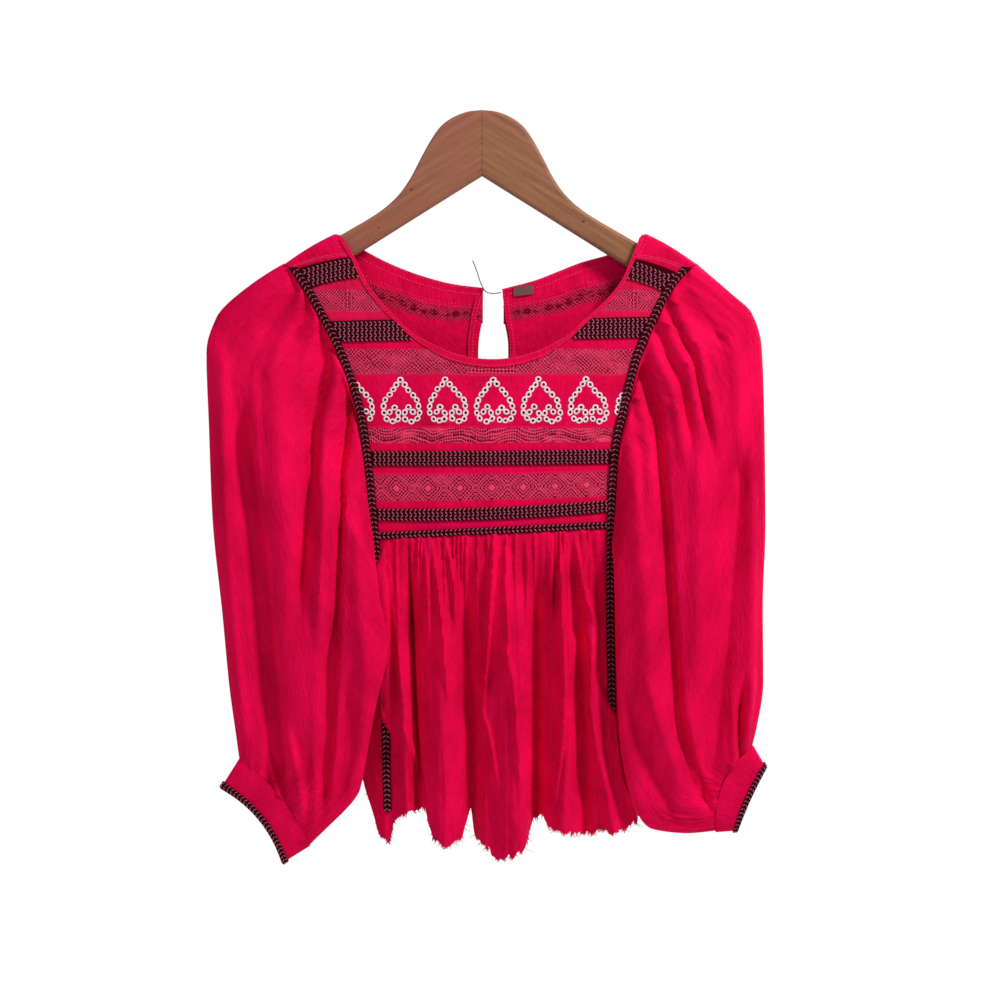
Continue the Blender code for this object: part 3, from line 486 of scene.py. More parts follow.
def crinkle(u, v, seed):
    """Small uneven crinkles of the gauze, in millimetres, over places in millimetres."""
    large = noise(u / 11, v / 34, seed)
    small = 1 - np.abs(noise(u / 5.0 + v / 60, v / 22, seed + 5))
    fine = noise(u / 2.6, v / 8, seed + 9)
    return 0.45 * large + 0.35 * small + 0.10 * fine


def creases(rows, x, z):
    """How far a table's creases stand out at places in millimetres."""
    out = np.zeros(np.shape(x))
    for z_top, x_top, z_mid, x_mid, z_low, x_low, left, right, height in rows:
        line = ((z_low, x_low), (z_mid, x_mid), (z_top, x_top))
        offset = x - smooth(line, 1, z)
        width = np.where(offset < 0, left, right)
        fade = min(60.0, (z_top - z_low) / 2.2)
        reach = ease((z_top + fade / 3 - z) / fade) * ease((z - z_low + fade / 3) / fade)
        out = out + height * reach * np.exp(-((offset / width) ** 2))
    return out


# ---- The front's and the back's surfaces ----


def turn(x, z):
    """0 in the middle of the body, 1 at the trims."""
    left = smooth(TRIM_LINE, 1, z)
    right = smooth(TRIM_LINE, 2, z)
    return np.clip(np.abs(2 * (x - left) / (right - left) - 1), 0, 1.2)


def turned_back(z):
    """How far the sides of the front and the back lean towards each other at a height."""
    return 0.8 + 2.7 * ease((-150.0 - z) / 200.0)


def front_depth(x, z):
    """y of the front's middle surface, which leans back at the trims."""
    return smooth(DEPTHS, 1, z) + turned_back(z) * turn(x, z) ** 4


def back_depth(x, z):
    return smooth(DEPTHS, 2, z) - turned_back(z) * turn(x, z) ** 4


def folds(rows, x, z, top, hem):
    """How far a table's folds stand out at each point, growing from the gathered top."""
    down = np.clip((top - z) / (top - hem), 0, 1)
    out = np.zeros(np.shape(x))
    for at_top, half_way, at_hem, width, height in rows:
        middle = (
            at_top * (1 - down) * (1 - 2 * down)
            + half_way * 4 * down * (1 - down)
            + at_hem * down * (2 * down - 1)
        )
        out = out + height * np.exp(-(((x - middle) / width) ** 2))
    return out * ease(down * 3) * (0.7 + 0.5 * down)


def front(xz):
    """Points of the front yoke's middle surface over (x, z), slightly puckered."""
    x, z = xz[..., 0], xz[..., 1]
    pucker = 0.28 * noise(x / 9, z / 14, 3) + 0.22 * pleats(x / 6, z / 40, 4)
    wave = 0.5 * noise(x / 34, z / 60, 6)
    return np.stack([x, front_depth(x, z) - pucker - wave, z], -1)


def skirt_relief(x, z):
    """How far the front skirt stands out from the yoke's plane."""
    top = np.interp((x + 105) / 230, (0, 0.5, 1), (-404, -399, -394))
    down = top - z
    large = LARGE_FOLDS * folds(SKIRT_FOLDS, x, z, -400.0, -690.0)
    small = SMALL_CREASES * creases(SKIRT_CREASES, x, z) * ease(down / 12)
    gather = 3.8 * pleats(x / 4.6, z / 110, 11) * ease(down / 6) * (1 - 0.8 * ease(down / 90))
    tail = 1.7 * pleats(x / 9, z / 110, 12) * ease(down / 40)
    return large + small + gather + tail + crinkle(x, z, 13) * ease(down / 20)


def front_skirt_surface(xz):
    x, z = xz[..., 0], xz[..., 1]
    at_edge = ease((1 - turn(x, z)) * 7 - 0.4)
    left_way = x - smooth(TRIM_LINE, 1, z)
    right_way = smooth(TRIM_LINE, 2, z) - x
    over_left = ease((-424 - z + left_way * 1.9) / 9) * ease((z + 588 + left_way * 1.6) / 9)
    over_left = over_left * ease((14 - left_way) / 12)
    over_right = ease((-562 - z + right_way * 1.9) / 9) * ease((22 - right_way) / 16)
    over_trim = (over_left + over_right) * (5.0 + 1.4 * noise(x / 5, z / 16, 17))
    y = front_depth(x, z) - skirt_relief(x, z) * at_edge - over_trim
    return np.stack([x, y, z], -1)


def back(xz):
    """Points of the back's middle surface over (x, z)."""
    x, z = xz[..., 0], xz[..., 1]
    pucker = 0.22 * noise(x / 10, z / 16, 23) + 0.18 * pleats(x / 7, z / 40, 24)
    return np.stack([x, back_depth(x, z) - pucker, z], -1)


def back_skirt_surface(xz):
    x, z = xz[..., 0], xz[..., 1]
    down = BACK_YOKE_END - z
    at_edge = ease((1 - turn(x, z)) * 7 - 0.4)
    out = folds(BACK_FOLDS, x, z, BACK_YOKE_END, -650.0)
    out = out + 1.6 * pleats(x / 5.2, z / 90, 27) * ease(down / 5) * (1 - 0.8 * ease(down / 110))
    out = out + 1.4 * pleats(x / 13, z / 140, 28) * ease(down / 60) + crinkle(x, z, 29)
    return np.stack([x, back_depth(x, z) + out * at_edge, z], -1)


def lifted(surface, distance):
    """The same surface, moved out towards the viewer of the front."""

    def moved(xz):
        points = surface(xz)
        points[..., 1] -= distance
        return points

    return moved


# ---- Meshes ----


def grid_normals(grid, closed_round):
    """Unit normals of a grid of points, whose columns may run all the way round."""
    if closed_round:
        along = np.roll(grid, -1, 1) - np.roll(grid, 1, 1)
    else:
        along = np.gradient(grid, axis=1)
    down = np.gradient(grid, axis=0)
    normal = np.cross(along, down)
    return normal / np.maximum(np.linalg.norm(normal, axis=2, keepdims=True), 1e-9)


def flat_places(grid, closed_round):
    """Lengths across and down the cloth at each column and row, from its middle, in metres."""
    looped = np.concatenate([grid, grid[:, :1]], 1) if closed_round else grid
    steps = np.linalg.norm(np.diff(looped, axis=1), axis=2).mean(0)
    sides = np.r_[0, np.cumsum(steps)] * MM
    drops = np.linalg.norm(np.diff(grid, axis=0), axis=2).mean(1)
    heights = -np.r_[0, np.cumsum(drops)] * MM
    return sides - sides[-1] / 2, heights - heights[-1] / 2


def linked(mesh, finishes):
    """The object of a mesh, in the scene, with its finishes."""
    for finish in finishes:
        mesh.materials.append(bpy.data.materials[finish])
    obj = bpy.data.objects.new(mesh.name, mesh)
    bpy.context.scene.collection.objects.link(obj)
    return obj


def mesh_object(name, points, faces, corners, finishes):
    """An object of points in millimetres and four-cornered faces with their places on the cloth."""
    mesh = bpy.data.meshes.new(name)
    mesh.from_pydata((points * MM).tolist(), [], faces.tolist())
    layer = mesh.uv_layers.new(name="cloth")
    layer.data.foreach_set("uv", corners.reshape(-1))
    mesh.shade_smooth()
    mesh.set_sharp_from_angle(angle=math.radians(60))
    return linked(mesh, finishes)


def shell(name, grid, finish, thickness, closed_round=False, places=None):
    """A closed wall of even thickness on a fine grid of middle points."""
    rows, columns = grid.shape[:2]
    shift = grid_normals(grid, closed_round) * thickness / 2
    points = np.concatenate([(grid + shift).reshape(-1, 3), (grid - shift).reshape(-1, 3)])
    size = rows * columns
    last = columns if closed_round else columns - 1
    i, j = (part.ravel() for part in np.indices((rows - 1, last)))
    k = (j + 1) % columns
    if places is None:
        u, v = flat_places(grid, closed_round)
        u, v = np.broadcast_arrays(u, v[:, None])
    else:
        u, v = places
    here, below = i * columns, (i + 1) * columns
    outer = np.stack([here + j, here + k, below + k, below + j], -1)

    def spot(a, b):
        """Places on the flat cloth at row a and column b."""
        return np.stack([u[a, b], v[a, b]], -1)

    outer_uv = np.stack([spot(i, j), spot(i, j + 1), spot(i + 1, j + 1), spot(i + 1, j)], 1)
    faces = [outer, outer[:, ::-1] + size]
    corners = [outer_uv, outer_uv[:, ::-1]]

    def rim(a, b, place_a, place_b):
        """The edge of the wall between two runs of points on its outer side."""
        faces.append(np.stack([b, a, a + size, b + size], -1))
        corners.append(np.stack([place_b, place_a, place_a, place_b], 1))

    top = np.arange(last)
    after = (top + 1) % columns
    low = (rows - 1) * columns
    rim(top, after, spot(0, top), spot(0, top + 1))
    rim(low + after, low + top, spot(-1, top + 1), spot(-1, top))
    if not closed_round:
        side = np.arange(rows - 1)
        first = side * columns
        rim(first + columns, first, spot(side + 1, 0), spot(side, 0))
        final = first + columns - 1
        rim(final, final + columns, spot(side, -1), spot(side + 1, -1))
    faces, corners = np.concatenate(faces), np.concatenate(corners)
    a, b, c, d = (points[faces[:, n]] for n in range(4))
    volume = (a * np.cross(b, c)).sum() + (a * np.cross(c, d)).sum()
    if volume < 0:
        faces, corners = faces[:, ::-1], corners[:, ::-1]
    return mesh_object(name, points, faces, corners, [finish])


def tucked(grid):
    """The grid with a few more rows below it, which pass behind the next piece of cloth."""
    way = grid[-1] - grid[-2]
    way = way / np.linalg.norm(way, axis=1, keepdims=True)
    extra = [
        grid[-1] + way * go + np.array([0.0, deep, 0.0])
        for go, deep in ((0.25, 0.6 * TUCK_DEPTH), (0.45, TUCK_DEPTH), (TUCK_REACH, TUCK_DEPTH))
    ]
    return np.concatenate([grid, np.stack(extra)])


def between(top, bottom, left, right):
    """A grid of (x, z) points that fills the space between four edges."""
    u = np.linspace(0, 1, len(top))[None, :, None]
    v = np.linspace(0, 1, len(left))[:, None, None]
    ruled = (1 - v) * top[None] + v * bottom[None]
    left_bend = left[:, None] - ((1 - v) * left[0] + v * left[-1])
    right_bend = right[:, None] - ((1 - v) * right[0] + v * right[-1])
    return ruled + (1 - u) * left_bend + u * right_bend


def edge_points(x_of_z, top, bottom, rows):
    z = np.linspace(top, bottom, rows)
    return np.stack([x_of_z(z), z], -1)


def strip_grid(top_of, bottom_of, left_of, right_of, columns, rows):
    """(x, z) grid of a strip. The first two give the height at a share of the way across, and
    the last two give x at a height."""
    left = edge_points(left_of, float(top_of(0.0)), float(bottom_of(0.0)), rows)
    right = edge_points(right_of, float(top_of(1.0)), float(bottom_of(1.0)), rows)
    share = np.linspace(0, 1, columns)
    top_x = left[0, 0] + (right[0, 0] - left[0, 0]) * share
    low_x = left[-1, 0] + (right[-1, 0] - left[-1, 0]) * share
    top = np.stack([top_x, top_of(share)], -1)
    bottom = np.stack([low_x, bottom_of(share)], -1)
    return between(top, bottom, left, right)


def trim_line(side, edge, inset=0.0):
    """x of a trim's edge as a function of height, or of a line inset from it to the middle."""
    return lambda z: trim_edge(side, z, edge) - side * inset


def front_span(top_of, bottom_of, columns, rows):
    """(x, z) grid of a strip from the left trim's outer edge to the right one's."""
    return strip_grid(top_of, bottom_of, trim_line(-1, 1), trim_line(1, 1), columns, rows)


# ---- Small repeated shapes, all joined in one mesh ----


def lozenge(sides, rings):
    """A plump stitch of unit half length, half width and half height along X, Y and Z."""
    points = [(-1.0, 0.0, 0.0)]
    for t in np.linspace(-1, 1, rings + 2)[1:-1]:
        radius = (1 - abs(t) ** 2.5) ** 0.5
        for k in range(sides):
            a = 2 * math.pi * k / sides
            points.append((t, radius * math.cos(a), radius * math.sin(a)))
    points.append((1.0, 0.0, 0.0))
    faces = []
    for k in range(sides):
        n = (k + 1) % sides
        faces.append((0, 0, 1 + n, 1 + k))
        for r in range(rings - 1):
            a = 1 + r * sides
            faces.append((a + k, a + n, a + n + sides, a + k + sides))
        a = 1 + (rings - 1) * sides
        faces.append((a + k, a + n, a + sides, a + sides))
    return np.array(points), faces


def ring(segments, sides, thickness):
    """A ring of unit outer radius about Z, with a round section."""
    points, faces = [], []
    for s in range(segments):
        a = 2 * math.pi * s / segments
        for k in range(sides):
            b = 2 * math.pi * k / sides
            reach = 1 - thickness + thickness * math.cos(b)
            points.append((reach * math.cos(a), reach * math.sin(a), thickness * math.sin(b)))
            t, n = (s + 1) % segments, (k + 1) % sides
            faces.append((s * sides + k, t * sides + k, t * sides + n, s * sides + n))
    return np.array(points), faces


def spots_on(surface, places, angle, sizes, step=0.4):
    """Origins and three axes of shapes on a surface: along, across and out of it."""
    places = np.asarray(places, float)
    origin = surface(places)
    side = surface(places + np.array([step, 0.0])) - origin
    up = surface(places + np.array([0.0, step])) - origin
    side = side / np.linalg.norm(side, axis=-1, keepdims=True)
    up = up / np.linalg.norm(up, axis=-1, keepdims=True)
    c, s = np.cos(angle)[:, None], np.sin(angle)[:, None]
    along = side * c + up * s
    out = np.cross(side, up)
    out = out / np.linalg.norm(out, axis=-1, keepdims=True)
    wide = np.cross(out, along)
    sizes = np.broadcast_to(np.asarray(sizes, float), (len(places), 3))
    return origin, along * sizes[:, :1], wide * sizes[:, 1:2], out * sizes[:, 2:]


def stamped(template, spots):
    """Points and faces of a template that is repeated at every spot."""
    points, faces = template
    origin, along, wide, out = spots
    count = len(points)
    made = (
        origin[:, None]
        + points[None, :, :1] * along[:, None]
        + points[None, :, 1:2] * wide[:, None]
        + points[None, :, 2:] * out[:, None]
    )
    shift = (np.arange(len(origin)) * count).tolist()
    return made.reshape(-1, 3), [tuple(n + s for n in face) for s in shift for face in faces]


def tidy_face(face):
    """The face without corners that are named twice."""
    kept = []
    for n in face:
        if n not in kept:
            kept.append(n)
    return kept


def joined(name, parts):
    """One object of stamped parts, each with its own finish."""
    points, faces, finishes, which = [], [], [], []
    total = 0
    for (made, made_faces), finish in parts:
        points.append(made)
        faces.extend([tidy_face([n + total for n in face]) for face in made_faces])
        if finish not in finishes:
            finishes.append(finish)
        which.extend([finishes.index(finish)] * len(made_faces))
        total += len(made)
    mesh = bpy.data.meshes.new(name)
    mesh.from_pydata((np.concatenate(points) * MM).tolist(), [], faces)
    mesh.shade_smooth()
    obj = linked(mesh, finishes)
    mesh.polygons.foreach_set("material_index", which)
    return obj


STITCH = lozenge(4, 2)
PLAIT = lozenge(6, 3)


def stitch_line(surface, line, pitch=3.2, length=2.3, width=0.34, height=0.22):
    """A row of running stitches along a line of (x, z) places on a surface."""
    at = np.arange(pitch / 2, lengths_along(line)[-1], pitch)
    places = places_along(line, at)
    way = places_along(line, at + 0.5) - places
    angle = np.arctan2(way[:, 1], way[:, 0])
    return stamped(STITCH, spots_on(surface, places, angle, (length / 2, width, height)))


def hem_threads(ends, seed, reach, spread=0.6):
    """Loose threads that hang from a frayed edge, given the edge's points."""
    random = np.random.default_rng(seed)
    sides, rings = 3, 4
    points, faces = [], []
    for end in ends:
        length = reach * random.uniform(0.25, 1.0) ** 1.6
        lean = random.normal(0, spread, 2)
        curl = random.normal(0, spread, 2)
        start = len(points)
        for r in range(rings):
            t = r / (rings - 1)
            radius = 0.62 * (1 - 0.5 * t)
            drop = end + np.array([
                (lean[0] * t + curl[0] * t * t) * length,
                (lean[1] * t + curl[1] * t * t) * length * 0.5,
                0.6 - t * (length + 0.6),
            ])
            for k in range(sides):
                a = 2 * math.pi * k / sides
                points.append(drop + np.array([radius * math.cos(a), radius * math.sin(a), 0]))
                if r:
                    n = (k + 1) % sides
                    low = start + r * sides
                    faces.append((low + k, low + n, low + n - sides, low + k - sides))
        faces.append((start, start + 1, start + 2))
        low = start + (rings - 1) * sides
        faces.append((low + 2, low + 1, low))
    return np.array(points), faces


# ---- Finishes ----


class Value:
    """A number in a material. Arithmetic on it adds Math nodes."""

    def __init__(self, tree, socket):
        self.tree = tree
        self.socket = socket

    def math(self, operation, *others, clamp=False):
        return Value.worked(self.tree, operation, (self, *others), clamp)

    @staticmethod
    def worked(tree, operation, terms, clamp=False):
        node = tree.nodes.new("ShaderNodeMath")
        node.operation = operation
        node.use_clamp = clamp
        for socket, term in zip(node.inputs, terms):
            if isinstance(term, Value):
                tree.links.new(term.socket, socket)
            else:
                socket.default_value = term
        return Value(tree, node.outputs[0])

    def __add__(self, other):
        return self.math("ADD", other)

    __radd__ = __add__

    def __sub__(self, other):
        return self.math("SUBTRACT", other)

    def __rsub__(self, other):
        return Value.worked(self.tree, "SUBTRACT", (other, self))

    def __mul__(self, other):
        return self.math("MULTIPLY", other)

    __rmul__ = __mul__

    def __truediv__(self, other):
        return self.math("DIVIDE", other)

    def __rtruediv__(self, other):
        return Value.worked(self.tree, "DIVIDE", (other, self))

    def __pow__(self, other):
        return self.math("POWER", other)

    def __abs__(self):
        return self.math("ABSOLUTE")

    def wave(self, pitch):
        """0 to 1 and back once in each pitch."""
        return abs((self * (math.pi / pitch)).math("SINE"))

    def zigzag(self, pitch):
        """Straight from 1 to 0 and back once in each pitch."""
        return abs((self / pitch).math("FRACT") - 0.5) * 2

    def rise(self, low, high):
        """0 below low, 1 above high."""
        return (self - low).math("MULTIPLY", 1 / (high - low), clamp=True)

    def clamped(self):
        return self.math("ADD", 0.0, clamp=True)

    def least(self, other):
        return self.math("MINIMUM", other)

    def most(self, other):
        return self.math("MAXIMUM", other)


class Finish:
    """One material of the blouse, and the nodes that it is made of."""

    def __init__(self, name, sockets):
        self.material = bpy.data.materials.new(name)
        self.material.use_nodes = True
        self.tree = self.material.node_tree
        self.shader = self.tree.nodes["Principled BSDF"]
        for socket, value in sockets.items():
            self.shader.inputs[socket].default_value = value

    def node(self, kind, settings=None, values=None):
        made = self.tree.nodes.new(kind)
        for key, value in (settings or {}).items():
            setattr(made, key, value)
        for key, value in (values or {}).items():
            self.put(made.inputs[key], value)
        return made

    def put(self, socket, value):
        if isinstance(value, Value):
            self.tree.links.new(value.socket, socket)
        elif isinstance(value, bpy.types.NodeSocket):
            self.tree.links.new(value, socket)
        else:
            socket.default_value = value

    def value(self, socket):
        return Value(self.tree, socket)

    def cloth_places(self):
        """Places across and down the flat cloth, in millimetres from its middle."""
        spot = self.node("ShaderNodeUVMap", {"uv_map": "cloth"}).outputs["UV"]
        split = self.node("ShaderNodeSeparateXYZ", None, {"Vector": spot})
        return tuple(self.value(split.outputs[n]) * (1 / MM) for n in range(2))

    def solid_places(self):
        """Places in the object, in millimetres."""
        spot = self.node("ShaderNodeTexCoord").outputs["Object"]
        split = self.node("ShaderNodeSeparateXYZ", None, {"Vector": spot})
        return tuple(self.value(split.outputs[n]) * (1 / MM) for n in range(3))

    def noise(self, *places, detail=2.0, roughness=0.55):
        """Noise with about one lump to each unit of the places."""
        place = self.node("ShaderNodeCombineXYZ", None, dict(enumerate(places))).outputs[0]
        settings = {"noise_dimensions": "3D" if len(places) == 3 else "2D"}
        values = {"Vector": place, "Scale": 1.0, "Detail": detail, "Roughness": roughness}
        return self.value(self.node("ShaderNodeTexNoise", settings, values).outputs["Fac"])

    def mix(self, share, first, second):
        """A colour between two others."""
        node = self.node("ShaderNodeMix", {"data_type": "RGBA"}, {0: share})
        for place, colour in ((6, first), (7, second)):
            drawn = isinstance(colour, bpy.types.NodeSocket)
            self.put(node.inputs[place], colour if drawn else (*colour, 1.0))
        return node.outputs[2]

    def bump(self, *layers):
        """Relief from (height, distance in millimetres) layers, each on top of the one before."""
        normal = None
        for height, distance in layers:
            values = {"Height": height, "Distance": distance * MM, "Strength": 1.0}
            if normal is not None:
                values["Normal"] = normal
            normal = self.node("ShaderNodeBump", None, values).outputs[0]
        self.put(self.shader.inputs["Normal"], normal)

    def colour(self, colour):
        self.put(self.shader.inputs["Base Color"], colour)

    def roughness(self, value):
        self.put(self.shader.inputs["Roughness"], value)


def gauze_layers(finish, u, v, colours):
    """Colour and relief of the crinkled gauze: (colour, crinkle, weave)."""
    slub = finish.noise(u * 0.45, v * 0.09, detail=2.0)
    bar = finish.noise(u * 0.06, v * 0.40, detail=2.0)
    patch = finish.noise(u * 0.022, v * 0.016, detail=3.0)
    share = (slub * 0.50 + bar * 0.35 + patch * 1.3 - 0.65).clamped()
    colour = finish.mix(share, colours.gauze_bright, colours.gauze_deep)
    crinkle_height = finish.noise(u * 0.24, v * 0.10, detail=2.0, roughness=0.45)
    weave = u.wave(0.9) * v.wave(0.9)
    return colour, crinkle_height, weave


CLOTH_SHADER = {
    "Roughness": 0.80,
    "Specular IOR Level": 0.05,
    "Sheen Weight": 0.03,
    "Sheen Roughness": 0.35,
    "Sheen Tint": (1.0, 0.12, 0.30, 1.0),
}


def gauze(colours, name="gauze", painted_shade=0.0):
    finish = Finish(name, CLOTH_SHADER)
    u, v = finish.cloth_places()
    colour, crinkle_height, weave = gauze_layers(finish, u, v, colours)
    # Where asked, the colour is darkened towards the deep gauze colour: painted shade for cloth
    # that hangs inside.
    if painted_shade:
        colour = finish.mix(painted_shade, colour, colours.gauze_deep)
    finish.colour(colour)
    finish.bump((crinkle_height, 0.85), (weave, 0.05))


def net(u, v, pitch):
    """1 in the holes of a net of slanting threads."""
    return (u + v).wave(pitch).least((u - v).wave(pitch)).rise(0.36, 0.60)


def hatch(along, over, pitch):
    """Dark slits between threads that run one way, crossed here and there by finer ones."""
    return over.wave(pitch).rise(0.46, 0.62) * along.wave(pitch * 1.12).rise(0.22, 0.44)


def uneven(finish, u, v, amount=1.1):
    """Places on lace whose threads have shifted a little."""
    return (
        u + (finish.noise(u * 0.11, v * 0.16) - 0.5) * amount,
        v + (finish.noise(u * 0.13 + 40, v * 0.14) - 0.5) * amount,
    )


def front_lace_holes(finish, u, v):
    u, v = uneven(finish, u, v, 2.2)
    diamond = u.zigzag(19.0) + abs(v) / 13.0
    inside = (1 - diamond).rise(-0.02, 0.02)
    slits = hatch(u - v, u + v, 3.5) * inside + hatch(u + v, u - v, 3.5) * (1 - inside)
    faded = finish.noise(u * 0.04, v * 0.07).rise(0.30, 0.60)
    open_work = (1 - abs(u) / 24.0).rise(0.0, 0.1) * (1 - abs(v + 8.2) / 3.4).rise(0.0, 0.3)
    rows = (u.wave(3.3).rise(0.35, 0.6) * (v + 1.0).wave(3.0).rise(0.35, 0.6)) * open_work
    band = (1 - abs(v - 0.5) / 12.0).rise(0.0, 0.08)
    return (slits * band * (0.55 + 0.45 * faded) * (1 - open_work)).most(rows), band


def wavy_lace_holes(finish, u, v):
    u, v = uneven(finish, u, v, 1.8)
    wander = finish.noise(u * 0.03, v * 0.02) * 5.0
    lean = v + (u * (2 * math.pi / 46.0) + wander).math("SINE") * 3.0
    dots = u.wave(2.3).rise(0.30, 0.60)
    rows = (lean + 0.4).wave(3.0).rise(0.45, 0.70) * dots
    patch = finish.noise(u * 0.045, v * 0.10)
    big = (u + 0.5).wave(3.3).rise(0.45, 0.6) * (1 - abs(lean + 1.5) / 1.6).rise(0.0, 0.4)
    band = (1 - abs(v) / 7.4).rise(0.0, 0.08)
    return ((rows * patch.rise(0.22, 0.50)).most(big * patch.rise(0.42, 0.56))) * band, band


def diamond_lace_holes(finish, u, v):
    u, v = uneven(finish, u, v, 1.5)
    across_one = (1 - u.zigzag(30.0)) * 15.0
    ring_place = across_one + abs(v)
    slits = hatch(across_one - abs(v), ring_place + 0.6, 3.4)
    core = ring_place.rise(2.6, 4.6)
    crossing = 0.35 + 0.65 * abs(ring_place - 15.2).rise(0.2, 0.7)
    band = (1 - abs(v) / 12.4).rise(0.0, 0.06)
    faded = finish.noise(u * 0.05, v * 0.08).rise(0.25, 0.50)
    return slits * core * crossing * band * (0.6 + 0.4 * faded), band


def back_lace_holes(finish, u, v):
    u, v = uneven(finish, u, v, 2.4)
    petals = (u.wave(10.5) * 3.4 - abs(v)).rise(-0.2, 0.7)
    fine = net(u, v, 3.2)
    patch = finish.noise(u * 0.08, v * 0.16).rise(0.38, 0.55)
    thread = abs(v).wave(3.4).rise(0.2, 0.4)
    band = (1 - abs(v) / 7.0).rise(0.0, 0.12)
    return ((petals * patch * thread).most(fine * (0.75 + 0.5 * patch))) * band, band


def upper_lace_holes(finish, u, v):
    u, v = uneven(finish, u, v, 2.0)
    band = (1 - abs(v) / 10.5).rise(0.0, 0.08)
    diamond = (1 - u.zigzag(36.0)) * 18.0 + abs(v)
    rings = hatch(u, diamond, 3.1)
    fine = net(u, v, 3.0)
    inside = (11.0 - diamond).rise(0.0, 0.8)
    patch = finish.noise(u * 0.06, v * 0.08).rise(0.36, 0.52)
    return ((rings * inside).most(fine * (1 - inside) * (0.45 + 0.55 * patch))) * band, band


def lace(name, holes_of, colours, pale=0.50):
    finish = Finish(name, CLOTH_SHADER)
    u, v = finish.cloth_places()
    colour, crinkle_height, weave = gauze_layers(finish, u, v, colours)
    holes, band = holes_of(finish, u, v)
    colour = finish.mix(0.05 + band * pale, colour, colours.lace_thread)
    finish.colour(finish.mix(holes, colour, colours.lace_shadow))
    finish.bump((crinkle_height, 0.6), (weave, 0.05), (1 - holes, 0.5))


def braid_yarn(name, colour, other, twist):
    """Spun yarn whose strands show as fine lines."""
    finish = Finish(name, {"Roughness": 0.80, "Specular IOR Level": 0.03})
    x, y, z = finish.solid_places()
    strands = (x + z * twist).wave(0.55)
    patch = finish.noise(x * 0.35, y * 0.35, z * 0.35)
    finish.colour(finish.mix(patch * 0.7 + strands * 0.2, colour, other))
    finish.bump((strands, 0.12), (patch, 0.2))


def spun_thread(name, colour, darker, fuzz=0.0):
    shader = {"Roughness": 0.7, "Specular IOR Level": 0.15, "Sheen Weight": fuzz}
    finish = Finish(name, shader | {"Sheen Roughness": 0.3})
    x, y, z = finish.solid_places()
    twist = (x + y + z * 1.7).wave(0.5)
    uneven = finish.noise(x * 1.3, y * 1.3, z * 1.3)
    finish.colour(finish.mix(twist * 0.25 + uneven * 0.5 - 0.1, colour, darker))
    finish.bump((twist, 0.08), (uneven, 0.1))


def hanger_wood(colours):
    """Satin brown wood, its grain along each arm, with a few small dark knots."""
    finish = Finish("hanger_wood", {"Roughness": 0.42, "Specular IOR Level": 0.30})
    x, y, z = finish.solid_places()
    along = abs(x) * 0.85 - z * 0.52
    over = abs(x) * 0.52 + z * 0.85
    grain = finish.noise(along * 0.010, over * 0.22, y * 0.18, detail=6.0, roughness=0.62)
    pores = finish.noise(along * 0.10, over * 1.9, y * 1.3, detail=2.0)
    cloud = finish.noise(x * 0.024, y * 0.05, z * 0.030, detail=3.0)
    share = ((grain - 0.5) * 2.6 + (pores - 0.5) * 0.9 + 0.45).clamped()
    colour = finish.mix(share, colours.wood_brown, colours.wood_dark)
    rosy = (x * -0.012 + (cloud - 0.5) * 4.0 + 0.4).clamped()
    colour = finish.mix(rosy * 0.45, colour, (0.36, 0.105, 0.072))
    worn = (cloud - 0.60).math("MULTIPLY", 5.0, clamp=True)
    colour = finish.mix(worn * 0.30, colour, (0.42, 0.19, 0.105))
    spots = 0.0
    for knot_x, knot_z, size in KNOTS:
        gap = ((x - knot_x) ** 2 + ((z - knot_z) * 1.5) ** 2) ** 0.5
        spots = (1 - gap / size).rise(0.0, 0.7) + spots
    finish.colour(finish.mix(spots * 0.8, colour, (0.035, 0.012, 0.008)))
    finish.roughness(0.38 + grain * 0.14)
    finish.bump((grain, 0.12), (pores, 0.05))


def label_cloth():
    finish = Finish("label_cloth", {"Roughness": 0.6, "Specular IOR Level": 0.2})
    x, _, z = finish.solid_places()
    weave = x.wave(0.7) * z.wave(0.7)
    worn = finish.noise(x * 0.3, z * 0.5)
    finish.colour(finish.mix(weave * 0.3 + worn * 0.6, (0.21, 0.095, 0.085), (0.085, 0.045, 0.040)))
    finish.bump((weave, 0.12))


# ---- Pieces ----


def placed(obj, slot, *nodes):
    """A finished piece takes its body, and the CAD nodes that it stands for are hidden. Its slot is
    not used.
    """
    if nodes and obj.name.startswith(nodes[0]):
        obj.name = nodes[0] + "_cloth"
    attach(obj, BODY)
    if nodes:
        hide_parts(*nodes)


def sewn(name, grid, finish, slot="cloth", thickness=CLOTH, **settings):
    """A wall of cloth that stands for the CAD node of the same name."""
    placed(shell(name, grid, finish, thickness, **settings), slot, name)


def stitching(name, rows, slot="cloth"):
    """Rows of stitches as one piece."""
    placed(joined(name, [(row, "stitching") for row in rows]), slot)


def planar(grid, middle):
    """Places on the cloth straight from x and height, in metres."""
    return (grid[..., 0] - middle[0]) * MM, (grid[..., 2] - middle[1]) * MM


def whole_share(side, share):
    """Share of the way across the front of a place on one side's strip: 0 is at the sleeve."""
    return 0.3 * share if side < 0 else 1 - 0.3 * share


def sides():
    return ((-1, "left"), (1, "right"))


def build_front_strips():
    for name, top, bottom, finish, rows in FRONT_STRIPS:
        grid = front_span(
            lambda s, seam=top: across(seam, s) - SEAM / 2,
            lambda s, seam=bottom: across(seam, s) + SEAM / 2,
            170,
            rows,
        )
        slot = "cloth" if finish == "gauze" else "lace"
        sewn(name, tucked(front(grid)), finish, slot)


